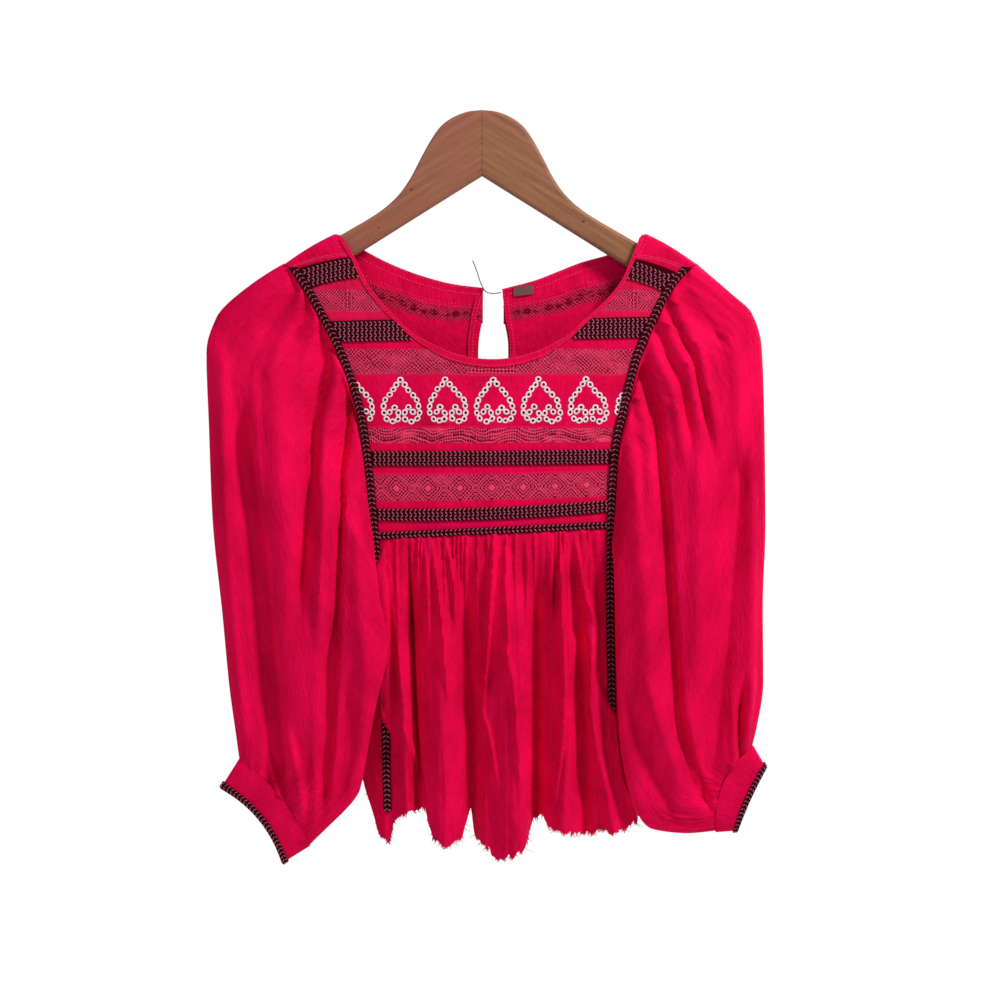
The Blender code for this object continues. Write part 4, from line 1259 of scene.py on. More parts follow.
def front_lace_grid():
    """The wide lace strip, whose top edge dips with the neckline."""

    def top(share):
        share = np.asarray(share, float)
        x = trim_edge(-1, -227.0, 1) * (1 - share) + trim_edge(1, -227.0, 1) * share
        bend = np.clip(np.abs(x - CENTRE) / NECK_DIP_REACH, 0, 1)
        return NECK_DIP_HEIGHT + (LACE_TOP[1] - SEAM / 2 - NECK_DIP_HEIGHT) * bend**2

    return front_span(top, lambda s: across(EMBROIDERY_TOP, s) + SEAM / 2, 180, 22)


def build_front_lace():
    grid = tucked(front(front_lace_grid()))
    middle = (CENTRE, (LACE_TOP[1] + EMBROIDERY_TOP[1]) / 2)
    sewn("front_lace", grid, "front_lace", "lace", places=planar(grid, middle))


def build_side_strips():
    """The strips between the trims and the neckline."""
    for side, label in sides():
        for stem, top, bottom, finish, slot, rows in (
            ("upper_lace_", UNDER_BRAID_1, UNDER_BRAID_2, "upper_lace", "lace", 44),
            ("yoke_strip_", UNDER_BRAID_2, LACE_TOP, "gauze", "cloth", 22),
        ):
            grid = strip_grid(
                lambda s, seam=top: across(seam, whole_share(side, s)) - SEAM / 2,
                lambda s, seam=bottom: across(seam, whole_share(side, s)) + SEAM / 2,
                trim_line(side, 1),
                lambda z: neck_x(side, z),
                90,
                rows,
            )
            points = tucked(front(grid))
            middle = (points[..., 0].mean(), points[..., 2].mean() + 2.0)
            name = stem + label
            sewn(name, points, finish, slot, places=planar(points, middle))


def side_braid_grid(side, middle, columns, rows):
    return strip_grid(
        lambda s: across(middle, whole_share(side, s)) + WIDE_BRAID / 2,
        lambda s: across(middle, whole_share(side, s)) - WIDE_BRAID / 2,
        trim_line(side, -1, SEAM),
        lambda z: braid_end_x(side, z),
        columns,
        rows,
    )


PLAIT_PITCH = 4.2
PLAIT_RISE = 2.7
PLAIT_SLANT = 0.80


def plaits(surface, middle_of, height, start_of, end_of):
    """The braid's slanting stitches and the pale zigzag yarns between them. The last two give
    the x of the braid's ends at a height."""
    arms = int(round(height / PLAIT_RISE))
    low_x = min(float(start_of(middle_of(0.0))), float(end_of(middle_of(0.0)))) - 30
    high_x = max(float(start_of(middle_of(0.0))), float(end_of(middle_of(0.0)))) + 30
    columns = np.arange(math.floor(low_x / PLAIT_PITCH), math.ceil(high_x / PLAIT_PITCH))
    dark, pale = [], []
    for column in columns:
        x = (column + 0.5) * PLAIT_PITCH
        for arm in range(arms):
            z = middle_of(x) + (arm + 0.5 - arms / 2) * (height / arms) * 1.04
            ends = sorted((float(start_of(z)), float(end_of(z))))
            way = 1 if arm % 2 else -1
            if ends[0] + 1.2 < x < ends[1] - 1.2:
                dark.append((x, z, math.pi / 2 - way * PLAIT_SLANT))
            if ends[0] + 0.4 < x - PLAIT_PITCH / 2 < ends[1] - 0.4:
                pale.append((x - PLAIT_PITCH / 2, z, math.pi / 2 - way * PLAIT_SLANT))
    dark, pale = np.array(dark), np.array(pale)
    dark_spots = spots_on(surface, dark[:, :2], dark[:, 2], (2.35, 1.10, 0.60))
    pale_spots = spots_on(surface, pale[:, :2], pale[:, 2], (2.05, 0.66, 0.90))
    return [(stamped(PLAIT, dark_spots), "braid_dark"), (stamped(STITCH, pale_spots), "braid_pale")]


def build_braids():
    face = LAID_ON + BRAID / 2 - 0.1
    for name, middle, height in FRONT_BRAIDS:
        grid = strip_grid(
            lambda s, seam=middle, half=height / 2: across(seam, s) + half,
            lambda s, seam=middle, half=height / 2: across(seam, s) - half,
            trim_line(-1, -1, SEAM),
            trim_line(1, -1, SEAM),
            150,
            6,
        )
        sewn(name, lifted(front, LAID_ON)(grid), "braid_base", "braid", BRAID)
        ends = (float(trim_edge(-1, middle[0], -1)), float(trim_edge(1, middle[2], -1)))

        def middle_of(x, seam=middle, ends=ends):
            return float(across(seam, np.clip((x - ends[0]) / (ends[1] - ends[0]), 0, 1)))

        ends_of = trim_line(-1, -1), trim_line(1, -1)
        parts = plaits(lifted(front, face), middle_of, height, *ends_of)
        placed(joined(name + "_plaits", parts), "braid")
    for side, label in sides():
        for number, middle in ((1, UNDER_BRAID_1), (2, UNDER_BRAID_2)):
            name = f"braid_{number}_{label}"
            grid = side_braid_grid(side, middle, 40, 8)
            sewn(name, lifted(front, LAID_ON)(grid), "braid_base", "braid", BRAID)
            line = grid[grid.shape[0] // 2]
            line = line[np.argsort(line[:, 0])]

            def middle_of(x, line=line):
                return float(np.interp(x, line[:, 0], line[:, 1]))

            parts = plaits(
                lifted(front, face),
                middle_of,
                WIDE_BRAID,
                trim_line(side, -1),
                lambda z, side=side: braid_end_x(side, z),
            )
            placed(joined(name + "_plaits", parts), "braid")


def herringbone(surface, line, width, pitch=4.6):
    """A single row of herringbone stitches along a line of (x, z) places."""
    at = np.arange(pitch / 2, lengths_along(line)[-1] - 1, pitch)
    parts = []
    for shift, sizes, template, finish in (
        (0.0, (width * 0.33, pitch * 0.25, 0.62), PLAIT, "braid_dark"),
        (pitch / 2, (width * 0.33, 0.52, 0.85), STITCH, "braid_pale"),
    ):
        spots = []
        for way in (-1, 1):
            run = places_along(line, at + shift + 0.8) - places_along(line, at + shift - 0.8)
            run = run / np.linalg.norm(run, axis=1, keepdims=True)
            across_line = np.stack([-run[:, 1], run[:, 0]], -1)
            middle = places_along(line, at + shift) + across_line * way * width * 0.25
            angle = np.arctan2(run[:, 1], run[:, 0]) + way * 0.95
            spots.append(spots_on(surface, middle, angle, sizes))
        merged = tuple(np.concatenate(part) for part in zip(*spots))
        parts.append((stamped(template, merged), finish))
    return parts


def build_trims():
    """The trims from the shoulders to the hem, laid on the edges of the front."""
    for side, label in sides():
        name = "front_trim_" + label
        heights = np.linspace(TRIM_TOP, TRIM_HEMS[side], 150)
        outer = trim_edge(side, heights, 1) + side * 0.3
        inner = trim_edge(side, heights, -1)
        share = np.linspace(0, 1, 5)[None, :]
        x = outer[:, None] * (1 - share) + inner[:, None] * share
        grid = np.stack([x, np.broadcast_to(heights[:, None], x.shape)], -1)
        surface = lifted(smooth_front, LAID_ON + 0.1)
        sewn(name, surface(grid), "braid_base", "braid", BRAID)
        line = np.stack([(outer + inner) / 2, heights], -1)
        face = lifted(smooth_front, LAID_ON + BRAID / 2)
        placed(joined(name + "_stitches", herringbone(face, line, TRIM_WIDTH)), "braid")


def smooth_front(xz):
    """The front without its puckers, which the stiffer trims bridge."""
    x, z = xz[..., 0], xz[..., 1]
    return np.stack([x, front_depth(x, z) - 0.4, z], -1)


def shoulder_grid(side, columns, rows):
    """The plain strap: up the front from braid 1, over the hanger's arm and a little way down."""
    tip = np.array([trim_edge(side, ARMHOLE_TOP, 1), ARMHOLE_TOP])
    neck_point = np.array([neck_x(side, -116.0), -116.0])
    share = np.linspace(0, 1, columns)
    ridge = tip + (neck_point - tip) * share[:, None]
    ridge[:, 1] += 2.0 * np.sin(share * math.pi) - 3.0 * ease((share - 0.86) / 0.14) ** 2
    low_z = across(UNDER_BRAID_1, whole_share(side, share)) + SEAM / 2
    low_start = trim_edge(side, low_z[0], 1)
    low_x = low_start + (neck_x(side, low_z[-1]) - low_start) * share
    low = np.stack([low_x, low_z], -1)
    made = [front(low + (ridge - low) * part) for part in np.linspace(0, 0.9, rows)]
    for angle in np.linspace(6, 171, rows):
        turned = math.radians(angle)
        y = -SHOULDER_TOP_DEPTH * math.cos(turned) * np.ones(columns)
        y = y - 0.35 * noise(share * 7, np.full(columns, angle / 40), 41)
        z = ridge[:, 1] - 3.0 + 3.0 * math.sin(turned)
        made.append(np.stack([ridge[:, 0], y, z], -1))
    for down in np.linspace(1.5, 13.0, 6):
        lower = ridge - np.array([0.0, 3.0 + down])
        behind = back(lower)
        behind[:, 1] = np.maximum(behind[:, 1] + 1.3, made[-1][:, 1])
        made.append(behind)
    return np.stack(made)


def grid_surface(grid):
    """A surface over places counted in columns and rows of a grid."""

    def surface(places):
        column = np.clip(places[..., 0], 0, grid.shape[1] - 1.001)
        row = np.clip(places[..., 1], 0, grid.shape[0] - 1.001)
        j, i = column.astype(int), row.astype(int)
        f, g = (column - j)[..., None], (row - i)[..., None]
        low = grid[i, j] * (1 - f) + grid[i, j + 1] * f
        high = grid[i + 1, j] * (1 - f) + grid[i + 1, j + 1] * f
        return low * (1 - g) + high * g

    return surface


def build_shoulders():
    for side, label in sides():
        name = "shoulder_" + label
        columns, rows = 60, 16
        grid = shoulder_grid(side, columns, rows)
        sewn(name, grid, "gauze")
        faced = grid[:, :: -side]
        outside = grid_surface(faced + grid_normals(faced, False) * (CLOTH / 2))
        last = columns - 1
        seam = last - 7.5 if side < 0 else 7.5
        lines = [
            np.array([(2.0, low), (last - 2.0, high)])
            for low, high in (((9.8, 5.6), (11.2, 6.4)) if side < 0 else ((5.6, 9.8), (6.4, 11.2)))
        ]
        lines.append(np.array([(seam, 1.0), (seam, 2 * rows + 3.0)]))
        rows_of = [stitch_line(outside, line, 1.7, 1.5, 0.32) for line in lines]
        stitching("shoulder_stitching_" + label, rows_of)


def neck_line():
    """The front neckline from the left shoulder round to the right one."""
    heights = np.linspace(-121.0, LACE_TOP[1] + 1.0, 60)
    left = np.stack([neck_x(-1, heights), heights], -1)
    right = np.stack([neck_x(1, heights), heights], -1)[::-1]
    dip_x = CENTRE + NECK_DIP_REACH * np.linspace(-0.92, 0.92, 40)
    dip = (LACE_TOP[1] - NECK_DIP_HEIGHT) * ((dip_x - CENTRE) / NECK_DIP_REACH) ** 2
    return np.concatenate([left, np.stack([dip_x, NECK_DIP_HEIGHT + dip], -1), right])


def beside(line, distance):
    """A line of (x, z) places, moved sideways."""
    way = np.gradient(line, axis=0)
    out = np.stack([way[:, 1], -way[:, 0]], -1)
    return line + out / np.linalg.norm(out, axis=1, keepdims=True) * distance


def build_neck_binding():
    line = neck_line()
    surface = lifted(front, LAID_ON)
    wide = (1 + 0.9 * ease((-212.0 - line[:, 1]) / 18.0))[:, None]
    widths = 0.2 + (NECK_BINDING - 0.2) * np.linspace(0, 1, 9)
    rows = np.stack([beside(line, width * wide) for width in widths])
    points = surface(rows)
    rolled = np.sin(np.linspace(0, math.pi, 9) ** 0.8)[:, None]
    points[..., 1] -= 0.10 * rolled + 0.15 * noise(rows[..., 0] / 5, rows[..., 1] / 5, 77)
    points[..., 1] += 0.45
    sewn("front_neck_binding", points, "gauze", "cloth", 0.9)
    face = lifted(front, LAID_ON + 0.2)
    rows = [
        stitch_line(face, beside(line, (NECK_BINDING - 0.7) * wide), 2.3, 1.3, 0.36),
        stitch_line(face, beside(line, 1.0), 2.3, 1.3, 0.30),
    ]
    stitching("neck_stitching", rows)


def build_embroidery(sizes):
    """Rings of white stitches in a row of pointed arches that curl in at the foot."""
    random = np.random.default_rng(5)
    half = spline_points(np.array([(x, 0.0, z) for x, z in ARCH]), 13)[:, [0, 2]]
    way = np.gradient(half, axis=0)
    lean_of = np.arctan2(way[:, 1], way[:, 0])
    lean_of[0] = 0.0
    motif = np.concatenate([half, half[1:] * np.array([-1.0, 1.0])])
    motif_angle = np.concatenate([lean_of, -lean_of[1:]])
    places, angle = [], []
    for number in range(-3, 4):
        lean = random.uniform(-4.0, -1.5)
        middle = CENTRE + 3.0 + number * sizes.motif_pitch / MM
        spots = motif + random.normal(0, 0.35, motif.shape)
        spots[:, 0] += middle + lean * (motif[:, 1] / 40.0)
        spots[:, 1] += EMBROIDERY_END[1] + 4.2
        keep = (spots[:, 0] > trim_edge(-1, spots[:, 1], -1) - 1.0) & (
            spots[:, 0] < trim_edge(1, spots[:, 1], -1) + 1.0
        )
        places.extend(spots[keep])
        angle.extend(motif_angle[keep])
    places, angle = np.array(places), np.array(angle)
    angle = angle + random.normal(0, 0.25, len(places))
    outer = sizes.ring_width / MM / 2
    sizes_of = np.stack([
        outer * random.uniform(1.02, 1.18, len(places)),
        outer * random.uniform(0.86, 1.0, len(places)),
        outer * random.uniform(0.36, 0.46, len(places)),
    ], -1)
    face = lifted(front, CLOTH / 2 + 0.15)
    rings = stamped(ring(12, 5, 0.29), spots_on(face, places, angle, sizes_of))
    # Small dark discs in the middles of the rings are painted shade seen through the eyelets.
    eye = spots_on(lifted(front, CLOTH / 2), places, angle, (outer * 0.46, outer * 0.46, 0.12))
    over = []
    for turn_to in (0.4, 1.5, 2.6, 3.8, 5.2):
        way = angle + turn_to
        spot = places + outer * 0.7 * np.stack([np.cos(way), np.sin(way)], -1)
        over.append(spots_on(lifted(front, CLOTH / 2 + 0.42), spot, way, (0.85, 0.26, 0.18)))
    over = tuple(np.concatenate(part) for part in zip(*over))
    parts = [
        (rings, "ring_thread"),
        (stamped(PLAIT, eye), "eyelet_shade"),
        (stamped(STITCH, over), "ring_thread"),
    ]
    placed(joined("embroidered_rings", parts), "embroidery")


def hem_raggedness(x, seed):
    return 2.4 * noise(x / 6.1, x * 0, seed) + 2.6 * noise(x / 2.3, x * 0, seed + 1)


def fray(name, grid, count, seeds, reach):
    """Loose threads along the last row of a piece."""
    at = np.sort(np.random.default_rng(seeds[0]).uniform(0.2, grid.shape[1] - 1.2, count))
    low = at.astype(int)
    share = (at - low)[:, None]
    ends = grid[-1, low] * (1 - share) + grid[-1, low + 1] * share
    threads = hem_threads(ends, seeds[1], reach)
    placed(joined(name, [(threads, "frayed_thread")]), "cloth")


def skirt_grid(surface, top_z, ends, hem_of, rows):
    """A skirt from its gathered top to its hem, between the outer edges of the trims."""
    share = np.linspace(0, 1, len(top_z))
    left = edge_points(trim_line(-1, 1), float(top_z[0]), ends[0], rows)
    right = edge_points(trim_line(1, 1), float(top_z[-1]), ends[1], rows)
    top_x, hem_x = (left[n, 0] + (right[n, 0] - left[n, 0]) * share for n in (0, -1))
    hem = np.stack([hem_x, hem_of(hem_x)], -1)
    hem[0, 1], hem[-1, 1] = ends
    return surface(between(np.stack([top_x, top_z], -1), hem, left, right))


def build_front_skirt(sizes):
    top_z = across(UNDER_BRAID_5, np.linspace(0, 1, 240)) - SEAM

    def hem_of(x):
        return smooth(FRONT_HEM, 1, x) + hem_raggedness(x, 31)

    grid = skirt_grid(front_skirt_surface, top_z, FRONT_HEM_ENDS, hem_of, 116)
    sewn("front_skirt", grid, "gauze", "cloth", FREE_CLOTH)
    fray("front_hem_threads", grid, 480, (32, 33), sizes.fray / MM)


def build_back_skirt(sizes):
    top_z = np.full(160, BACK_YOKE_END - SEAM)
    scallops = 5.0 * np.sin(np.linspace(0, 5 * math.pi, len(top_z)))

    def hem_of(x):
        return BACK_HEM_ENDS[0] + scallops + hem_raggedness(x, 34)

    grid = skirt_grid(back_skirt_surface, top_z, BACK_HEM_ENDS, hem_of, 70)
    sewn("back_skirt", grid, "gauze", "cloth", FREE_CLOTH)
    fray("back_hem_threads", grid, 360, (35, 36), sizes.fray / MM)


def side_panel_grid(side, columns, rows):
    """One piece from the front trim round the side to the back."""
    grid = np.zeros((rows, columns, 3))
    share = np.linspace(0, 1, columns)
    forward = np.clip(1 - 2 * share, 0, 1)
    behind = np.clip(2 * share - 1, 0, 1)
    reach_share = 1 - np.abs(2 * share - 1)
    hem_front = SIDE_HEMS[side]
    hem_reach = abs(CENTRE + side * SIDE_REACH - trim_edge(side, hem_front, 1))
    rise = smooth(SIDE_HEM_EDGE, 1, hem_reach * ease(reach_share) ** 0.8)
    hem = hem_front + rise + (SIDE_BACK_HEM - hem_front) * ease(behind)
    hem = hem + hem_raggedness(np.arange(columns) * 1.0, 55)
    for i in range(rows):
        v = i / (rows - 1)
        z = SIDE_TOP + (hem - SIDE_TOP) * v
        seam = trim_edge(side, z, 1) - side * 2.0
        open_share = ease((SIDE_TOP - z) / SIDE_OPEN) * 0.88 + 0.12
        reach = CENTRE + side * SIDE_REACH - seam
        x = seam + reach * open_share * ease(reach_share) ** 0.8
        front_y = smooth(DEPTHS, 1, z) + 3.0
        back_y = smooth(DEPTHS, 2, z) - 3.0
        front_layer = front_y + (4.0 - front_y) * ease(reach_share * 2.4)
        back_layer = back_y + (8.0 - back_y) * ease(reach_share * 1.2)
        y = np.where(share < 0.5, front_layer, back_layer)
        near_fold = ease(1 - np.abs(share - 0.5) / 0.06)
        y = y * (1 - near_fold) + near_fold * (front_layer + back_layer) / 2
        wave = 2.0 * np.sin(reach_share * 7 + v * 2) * ease(v * 2) * ease((forward + behind) * 3)
        small = 0.5 * crinkle(x, z, 51) * ease((forward + behind) * 3) * ease(reach_share * 6)
        grid[i] = np.stack([x, y + wave * behind**0.5 + small, z], -1)
    return grid


def build_side_panels(sizes):
    for side, label in sides():
        name = "side_panel_" + label
        grid = side_panel_grid(side, 100, 66)
        sewn(name, grid, "gauze", "cloth", FREE_CLOTH)
        fray("side_hem_threads_" + label, grid, 160, (52, 53 + side), sizes.fray / MM * 0.8)


def back_neck_point(side, share):
    """(x, z) on the back neckline: 0 is at the keyhole, 1 at the shoulder."""
    rows = [(k / (len(BACK_NECK) - 1), *row) for k, row in enumerate(BACK_NECK)]
    first = 1 if side < 0 else 3
    return np.stack([smooth(rows, first, share), smooth(rows, first + 1, share)], -1)


def back_band_grid(side, distances, columns):
    """A band that follows the back neckline, at each of some distances below it."""
    share = np.linspace(0, 1, columns)
    neck = back_neck_point(side, share)
    lean = ease((share - 0.55) / 0.45)[:, None]
    down = (1 - lean) * np.array([0.0, -1.0]) + lean * np.array([side * 0.86, -0.51])
    down = down / np.linalg.norm(down, axis=1, keepdims=True)
    spread = 1 + 0.25 * ease(share * 2)[:, None]
    grid = np.stack([neck + down * far * spread for far in distances])
    for row in grid:
        row[0, 0] = smooth(KEYHOLE, 1 if side < 0 else 2, row[0, 1])
    return grid


def back_band_surface(xz):
    """The back with the vertical gathers that the neck band holds."""
    points = back(xz)
    x, z = points[..., 0], points[..., 2]
    held = np.where(x > CENTRE, ease((x - 40) / 25) * ease((150 - x) / 20), 0.25)
    points[..., 1] -= 0.7 * held * pleats(x / 3.9, z / 60, 61)
    return points


def build_back_bands():
    for side, label in sides():
        for stem, near, far, finish, rows, surface in (
            ("back_neck_binding_", 0.0, BACK_BINDING - SEAM, "gauze", 10, back),
            ("back_neck_band_", BACK_BINDING, BACK_BAND - SEAM, "gauze", 14, back_band_surface),
            ("back_lace_", BACK_BAND, BACK_LACE - SEAM, "back_lace", 16, back),
        ):
            name = stem + label
            grid = tucked(surface(back_band_grid(side, np.linspace(near, far, rows), 110)))
            slot = "lace" if finish == "back_lace" else "cloth"
            sewn(name, grid, finish, slot)
        lines = [
            stitch_line(lifted(back, CLOTH / 2), back_band_grid(side, (far,), 150)[0])
            for far in (1.2, BACK_BINDING - 1.4, BACK_BAND - 1.2)
        ]
        stitching("back_stitching_" + label, lines)


def build_back_yokes():
    for side, label in sides():
        columns, rows = 100, 70
        at_shoulder = 28
        lace_line = back_band_grid(side, (BACK_LACE,), columns - at_shoulder)[0][::-1]
        tip = np.array([trim_edge(side, TRIM_TOP, 1), TRIM_TOP])
        shares = np.linspace(0, 1, at_shoulder + 1)[:-1, None]
        top = np.concatenate([tip + (lace_line[0] - tip) * shares, lace_line])
        key_column = 1 if side < 0 else 2
        top[-1, 0] = smooth(KEYHOLE, key_column, top[-1, 1])

        def keyhole_x(z):
            return smooth(KEYHOLE, key_column, z)

        left = edge_points(trim_line(side, 1), top[0, 1], BACK_YOKE_END, rows)
        right = edge_points(keyhole_x, top[-1, 1], BACK_YOKE_END, rows)
        way = np.linspace(0, 1, columns)[:, None]
        bottom = left[-1] + (right[-1] - left[-1]) * way
        grid = back(between(top, bottom, left, right))
        x, z = grid[..., 0], grid[..., 2]
        grid[..., 1] += 0.3 * crinkle(x, z, 71) * ease((z - BACK_YOKE_END) / 12)
        name = "back_yoke_" + label
        # The back yoke's inside takes the copy of the gauze that is darkened as painted shade.
        sewn(name, tucked(grid), "gauze_painted_shade")


def build_keyhole_bindings():
    for side, label in sides():
        heights = np.linspace(-176.5, -280.0, 90)
        edge = smooth(KEYHOLE, 1 if side < 0 else 2, heights)
        share = np.linspace(0, 1, 7)[None, :]
        x = edge[:, None] + side * (0.2 + (KEYHOLE_BINDING - 0.2) * share)
        grid = lifted(back, LAID_ON)(np.stack([x, np.broadcast_to(heights[:, None], x.shape)], -1))
        grid[..., 1] -= 0.35 * np.sin(np.linspace(0, math.pi, 7))[None, :]
        name = "keyhole_binding_" + label
        sewn(name, grid, "gauze", "cloth", 1.0)
        face = lifted(back, LAID_ON + 0.65)
        lines = [
            stitch_line(face, np.stack([edge + side * far, heights], -1))
            for far in (1.1, KEYHOLE_BINDING - 1.0)
        ]
        stitching("keyhole_stitching_" + label, lines)


def build_label():
    """A small woven tab with nothing on it, sewn down at both ends."""
    x, z = LABEL_MIDDLE
    tilt = 0.12
    shares = np.linspace(-0.5, 0.5, 25)
    ups = np.linspace(0.5, -0.5, 11)
    grid = np.zeros((len(ups), len(shares), 2))
    for i, up in enumerate(ups):
        grid[i, :, 0] = x + shares * LABEL_WIDTH
        grid[i, :, 1] = z + up * LABEL_HEIGHT + shares * LABEL_WIDTH * tilt
    points = lifted(back, LAID_ON)(grid)
    points[..., 1] -= 0.5 * np.cos(shares * math.pi)[None, :]
    sewn("label", points, "label_cloth", "label", 0.8)
    ends = []
    for share in (-0.44, 0.44):
        run = np.linspace(-0.42, 0.42, 12)
        line_x = np.full(12, x + share * LABEL_WIDTH)
        line = np.stack([line_x, z + run * LABEL_HEIGHT + share * 2.2], -1)
        ends.append(stitch_line(lifted(back, LAID_ON + 0.6), line, pitch=1.5, length=1.1))
    stitching("label_stitching", ends, "label")


def build_thread():
    """The thread that closes the top of the keyhole, with its loose end standing up."""
    curve = bpy.data.curves.new("keyhole_loop", "CURVE")
    curve.dimensions = "3D"
    curve.bevel_depth = THREAD / 2 * MM
    curve.bevel_resolution = 4
    curve.use_fill_caps = True
    points = spline_points(np.array(THREAD_ROUTE), 26)
    line = curve.splines.new("POLY")
    line.points.add(len(points) - 1)
    for point, place in zip(line.points, points):
        point.co = (*(place * MM), 1)
    curve.materials.append(bpy.data.materials["loop_thread"])
    obj = bpy.data.objects.new("keyhole_loop", curve)
    bpy.context.scene.collection.objects.link(obj)
    placed(obj, "thread", "keyhole_thread")


# ---- Sleeves and cuffs ----


def armhole_ring(side, angle):
    """The sleeve's first ring: down the front armhole and up the back one."""
    share = (1 - np.cos(angle)) / 2
    z = ARMHOLE_TOP + (UNDERARM - ARMHOLE_TOP) * share
    x = trim_edge(side, z, 1) + side * (0.4 + (1 - share) ** 6)
    xz = np.stack([x, z], -1)
    in_front = smooth_front(xz)[:, 1] + 0.4
    behind = back_depth(x, z)
    squareness = np.where(share < 0.5, 4.0, 2.2)
    level = np.clip(np.abs(np.sin(angle)) * squareness, 0, 1)
    return x, np.where(np.sin(angle) > 0, in_front, behind) * level, z


def sleeve_grid(side, stations, crease_rows, seed, columns=210, rows=125):
    angle = np.arange(columns) * 2 * math.pi / columns
    share = (1 - np.cos(angle)) / 2
    in_front = np.sin(angle) > 0
    first = np.stack(armhole_ring(side, angle), -1)
    grid = np.zeros((rows, columns, 3))
    for i, down in enumerate(np.linspace(0, 1, rows) ** 1.1):
        outer_x, outer_z, inner_x, inner_z, outer_y, inner_y, depth, depth_behind, bow = (
            float(smooth(stations, k, down)) for k in range(1, 10)
        )
        chord = np.array([inner_x - outer_x, inner_z - outer_z])
        away = np.array([-chord[1], chord[0]]) / np.linalg.norm(chord)
        if away[0] * side > 0:
            away = -away
        bulge = bow * 4 * share * (1 - share)
        x = outer_x + chord[0] * share + away[0] * bulge
        z = outer_z + chord[1] * share + away[1] * bulge
        round_shape = np.abs(np.sin(angle)) ** 0.8
        half = np.where(in_front, -depth, depth_behind) * round_shape
        y = outer_y + (inner_y - outer_y) * share + half
        relief_x = np.where(in_front, x, x + side * 16)
        relief_z = np.where(in_front, z, z + 22)
        out = creases(crease_rows, relief_x, relief_z)
        out = np.where(out > 0, SLEEVE_RIDGES, SLEEVE_TROUGHS) * out
        out = out + 1.1 * noise(share * 9 + in_front * 7, np.full(columns, down * 5), seed)
        out = out + 0.55 * crinkle(relief_x + in_front * 90, relief_z, seed + 2)
        head = ease(down / 0.02) * (1 - ease((down - 0.03) / 0.26))
        low = ease((down - 0.80) / 0.18) * (1 - 0.5 * ease((down - 0.97) / 0.03))
        gather = pleats(share * 34 + in_front * 11, np.full(columns, down * 3), seed + 3)
        gathers = pleats(share * 22 + in_front * 5, np.full_like(share, down * 4), seed + 4)
        out = out + 2.8 * gather * head + 2.2 * gathers * low
        out = np.maximum(out, -2.0 - 9.0 * ease((-190.0 - z) / 80.0))
        out = out * round_shape**0.6 * ease(down / 0.025)
        ring_points = np.stack([x, y, z], -1)
        blend = ease(down / SLEEVE_HEAD)
        grid[i] = first * (1 - blend) + ring_points * blend
        grid[i, :, 1] += np.where(in_front, -out, out * 0.8)
    hidden = first.copy()
    hidden[:, 0] -= side * 2.6
    hidden[:, 1] -= np.clip(hidden[:, 1], -1.6, 1.6)
    hidden[:, 2] -= 1.6 * ease(1 - share * 20)
    inside = grid[-1].mean(0) + (grid[-1] - grid[-1].mean(0)) * 0.9
    return np.concatenate([hidden[None], grid, inside[None]])


def build_sleeves():
    for side, label, stations, rows, seed in (
        (-1, "left", LEFT_SLEEVE, LEFT_SLEEVE_CREASES, 81),
        (1, "right", RIGHT_SLEEVE, RIGHT_SLEEVE_CREASES, 91),
    ):
        name = "sleeve_" + label
        grid = sleeve_grid(side, stations, rows, seed)
        sewn(name, grid, "gauze", closed_round=True)


def cuff_grid(stations, shares, out, columns=140):
    angle = np.arange(columns) * 2 * math.pi / columns
    share = (1 - np.cos(angle)) / 2
    rows = []
    for down in shares:
        values = [stations[0][k] + (stations[1][k] - stations[0][k]) * down for k in range(1, 6)]
        outer = np.array(values[:2])
        inner = np.array(values[2:4])
        chord = inner - outer
        along = chord / np.linalg.norm(chord)
        up = np.array([-along[1], along[0]])
        if up[1] < 0:
            up = -up
        bow = values[4] * 4 * share * (1 - share)
        place = outer + chord * share[:, None] + up * bow[:, None]
        place = place + along * (out * (2 * share - 1))[:, None]
        round_shape = np.sign(np.sin(angle)) * np.abs(np.sin(angle)) ** 0.7
        pucker = 0.35 * noise(share * 14 + down, np.full(columns, down * 3), 101) * np.sin(angle)
        y = CUFF_Y - (CUFF_DEPTH + out) * round_shape - pucker
        rows.append(np.stack([place[:, 0], y, place[:, 1]], -1))
    return np.stack(rows)


def ring_surface(grid):
    """A surface over places in millimetres round a ring and up from its lower edge."""
    looped = np.concatenate([grid, grid[:, :1]], 1)[::-1]
    lengths = np.r_[0, np.cumsum(np.linalg.norm(np.diff(looped, axis=1), axis=2).mean(0))]
    heights = np.r_[0, np.cumsum(np.linalg.norm(np.diff(looped, axis=0), axis=2).mean(1))]

    def surface(places):
        u = np.mod(places[..., 0], lengths[-1])
        j = np.clip(np.searchsorted(lengths, u, side="right") - 1, 0, len(lengths) - 2)
        f = ((u - lengths[j]) / (lengths[j + 1] - lengths[j]))[..., None]
        v = np.clip(places[..., 1], heights[0], heights[-1])
        i = np.clip(np.searchsorted(heights, v, side="right") - 1, 0, len(heights) - 2)
        g = ((places[..., 1] - heights[i]) / (heights[i + 1] - heights[i]))[..., None]
        low = looped[i, j] * (1 - f) + looped[i, j + 1] * f
        high = looped[i + 1, j] * (1 - f) + looped[i + 1, j + 1] * f
        return low * (1 - g) + high * g

    return surface, lengths[-1], heights[-1]


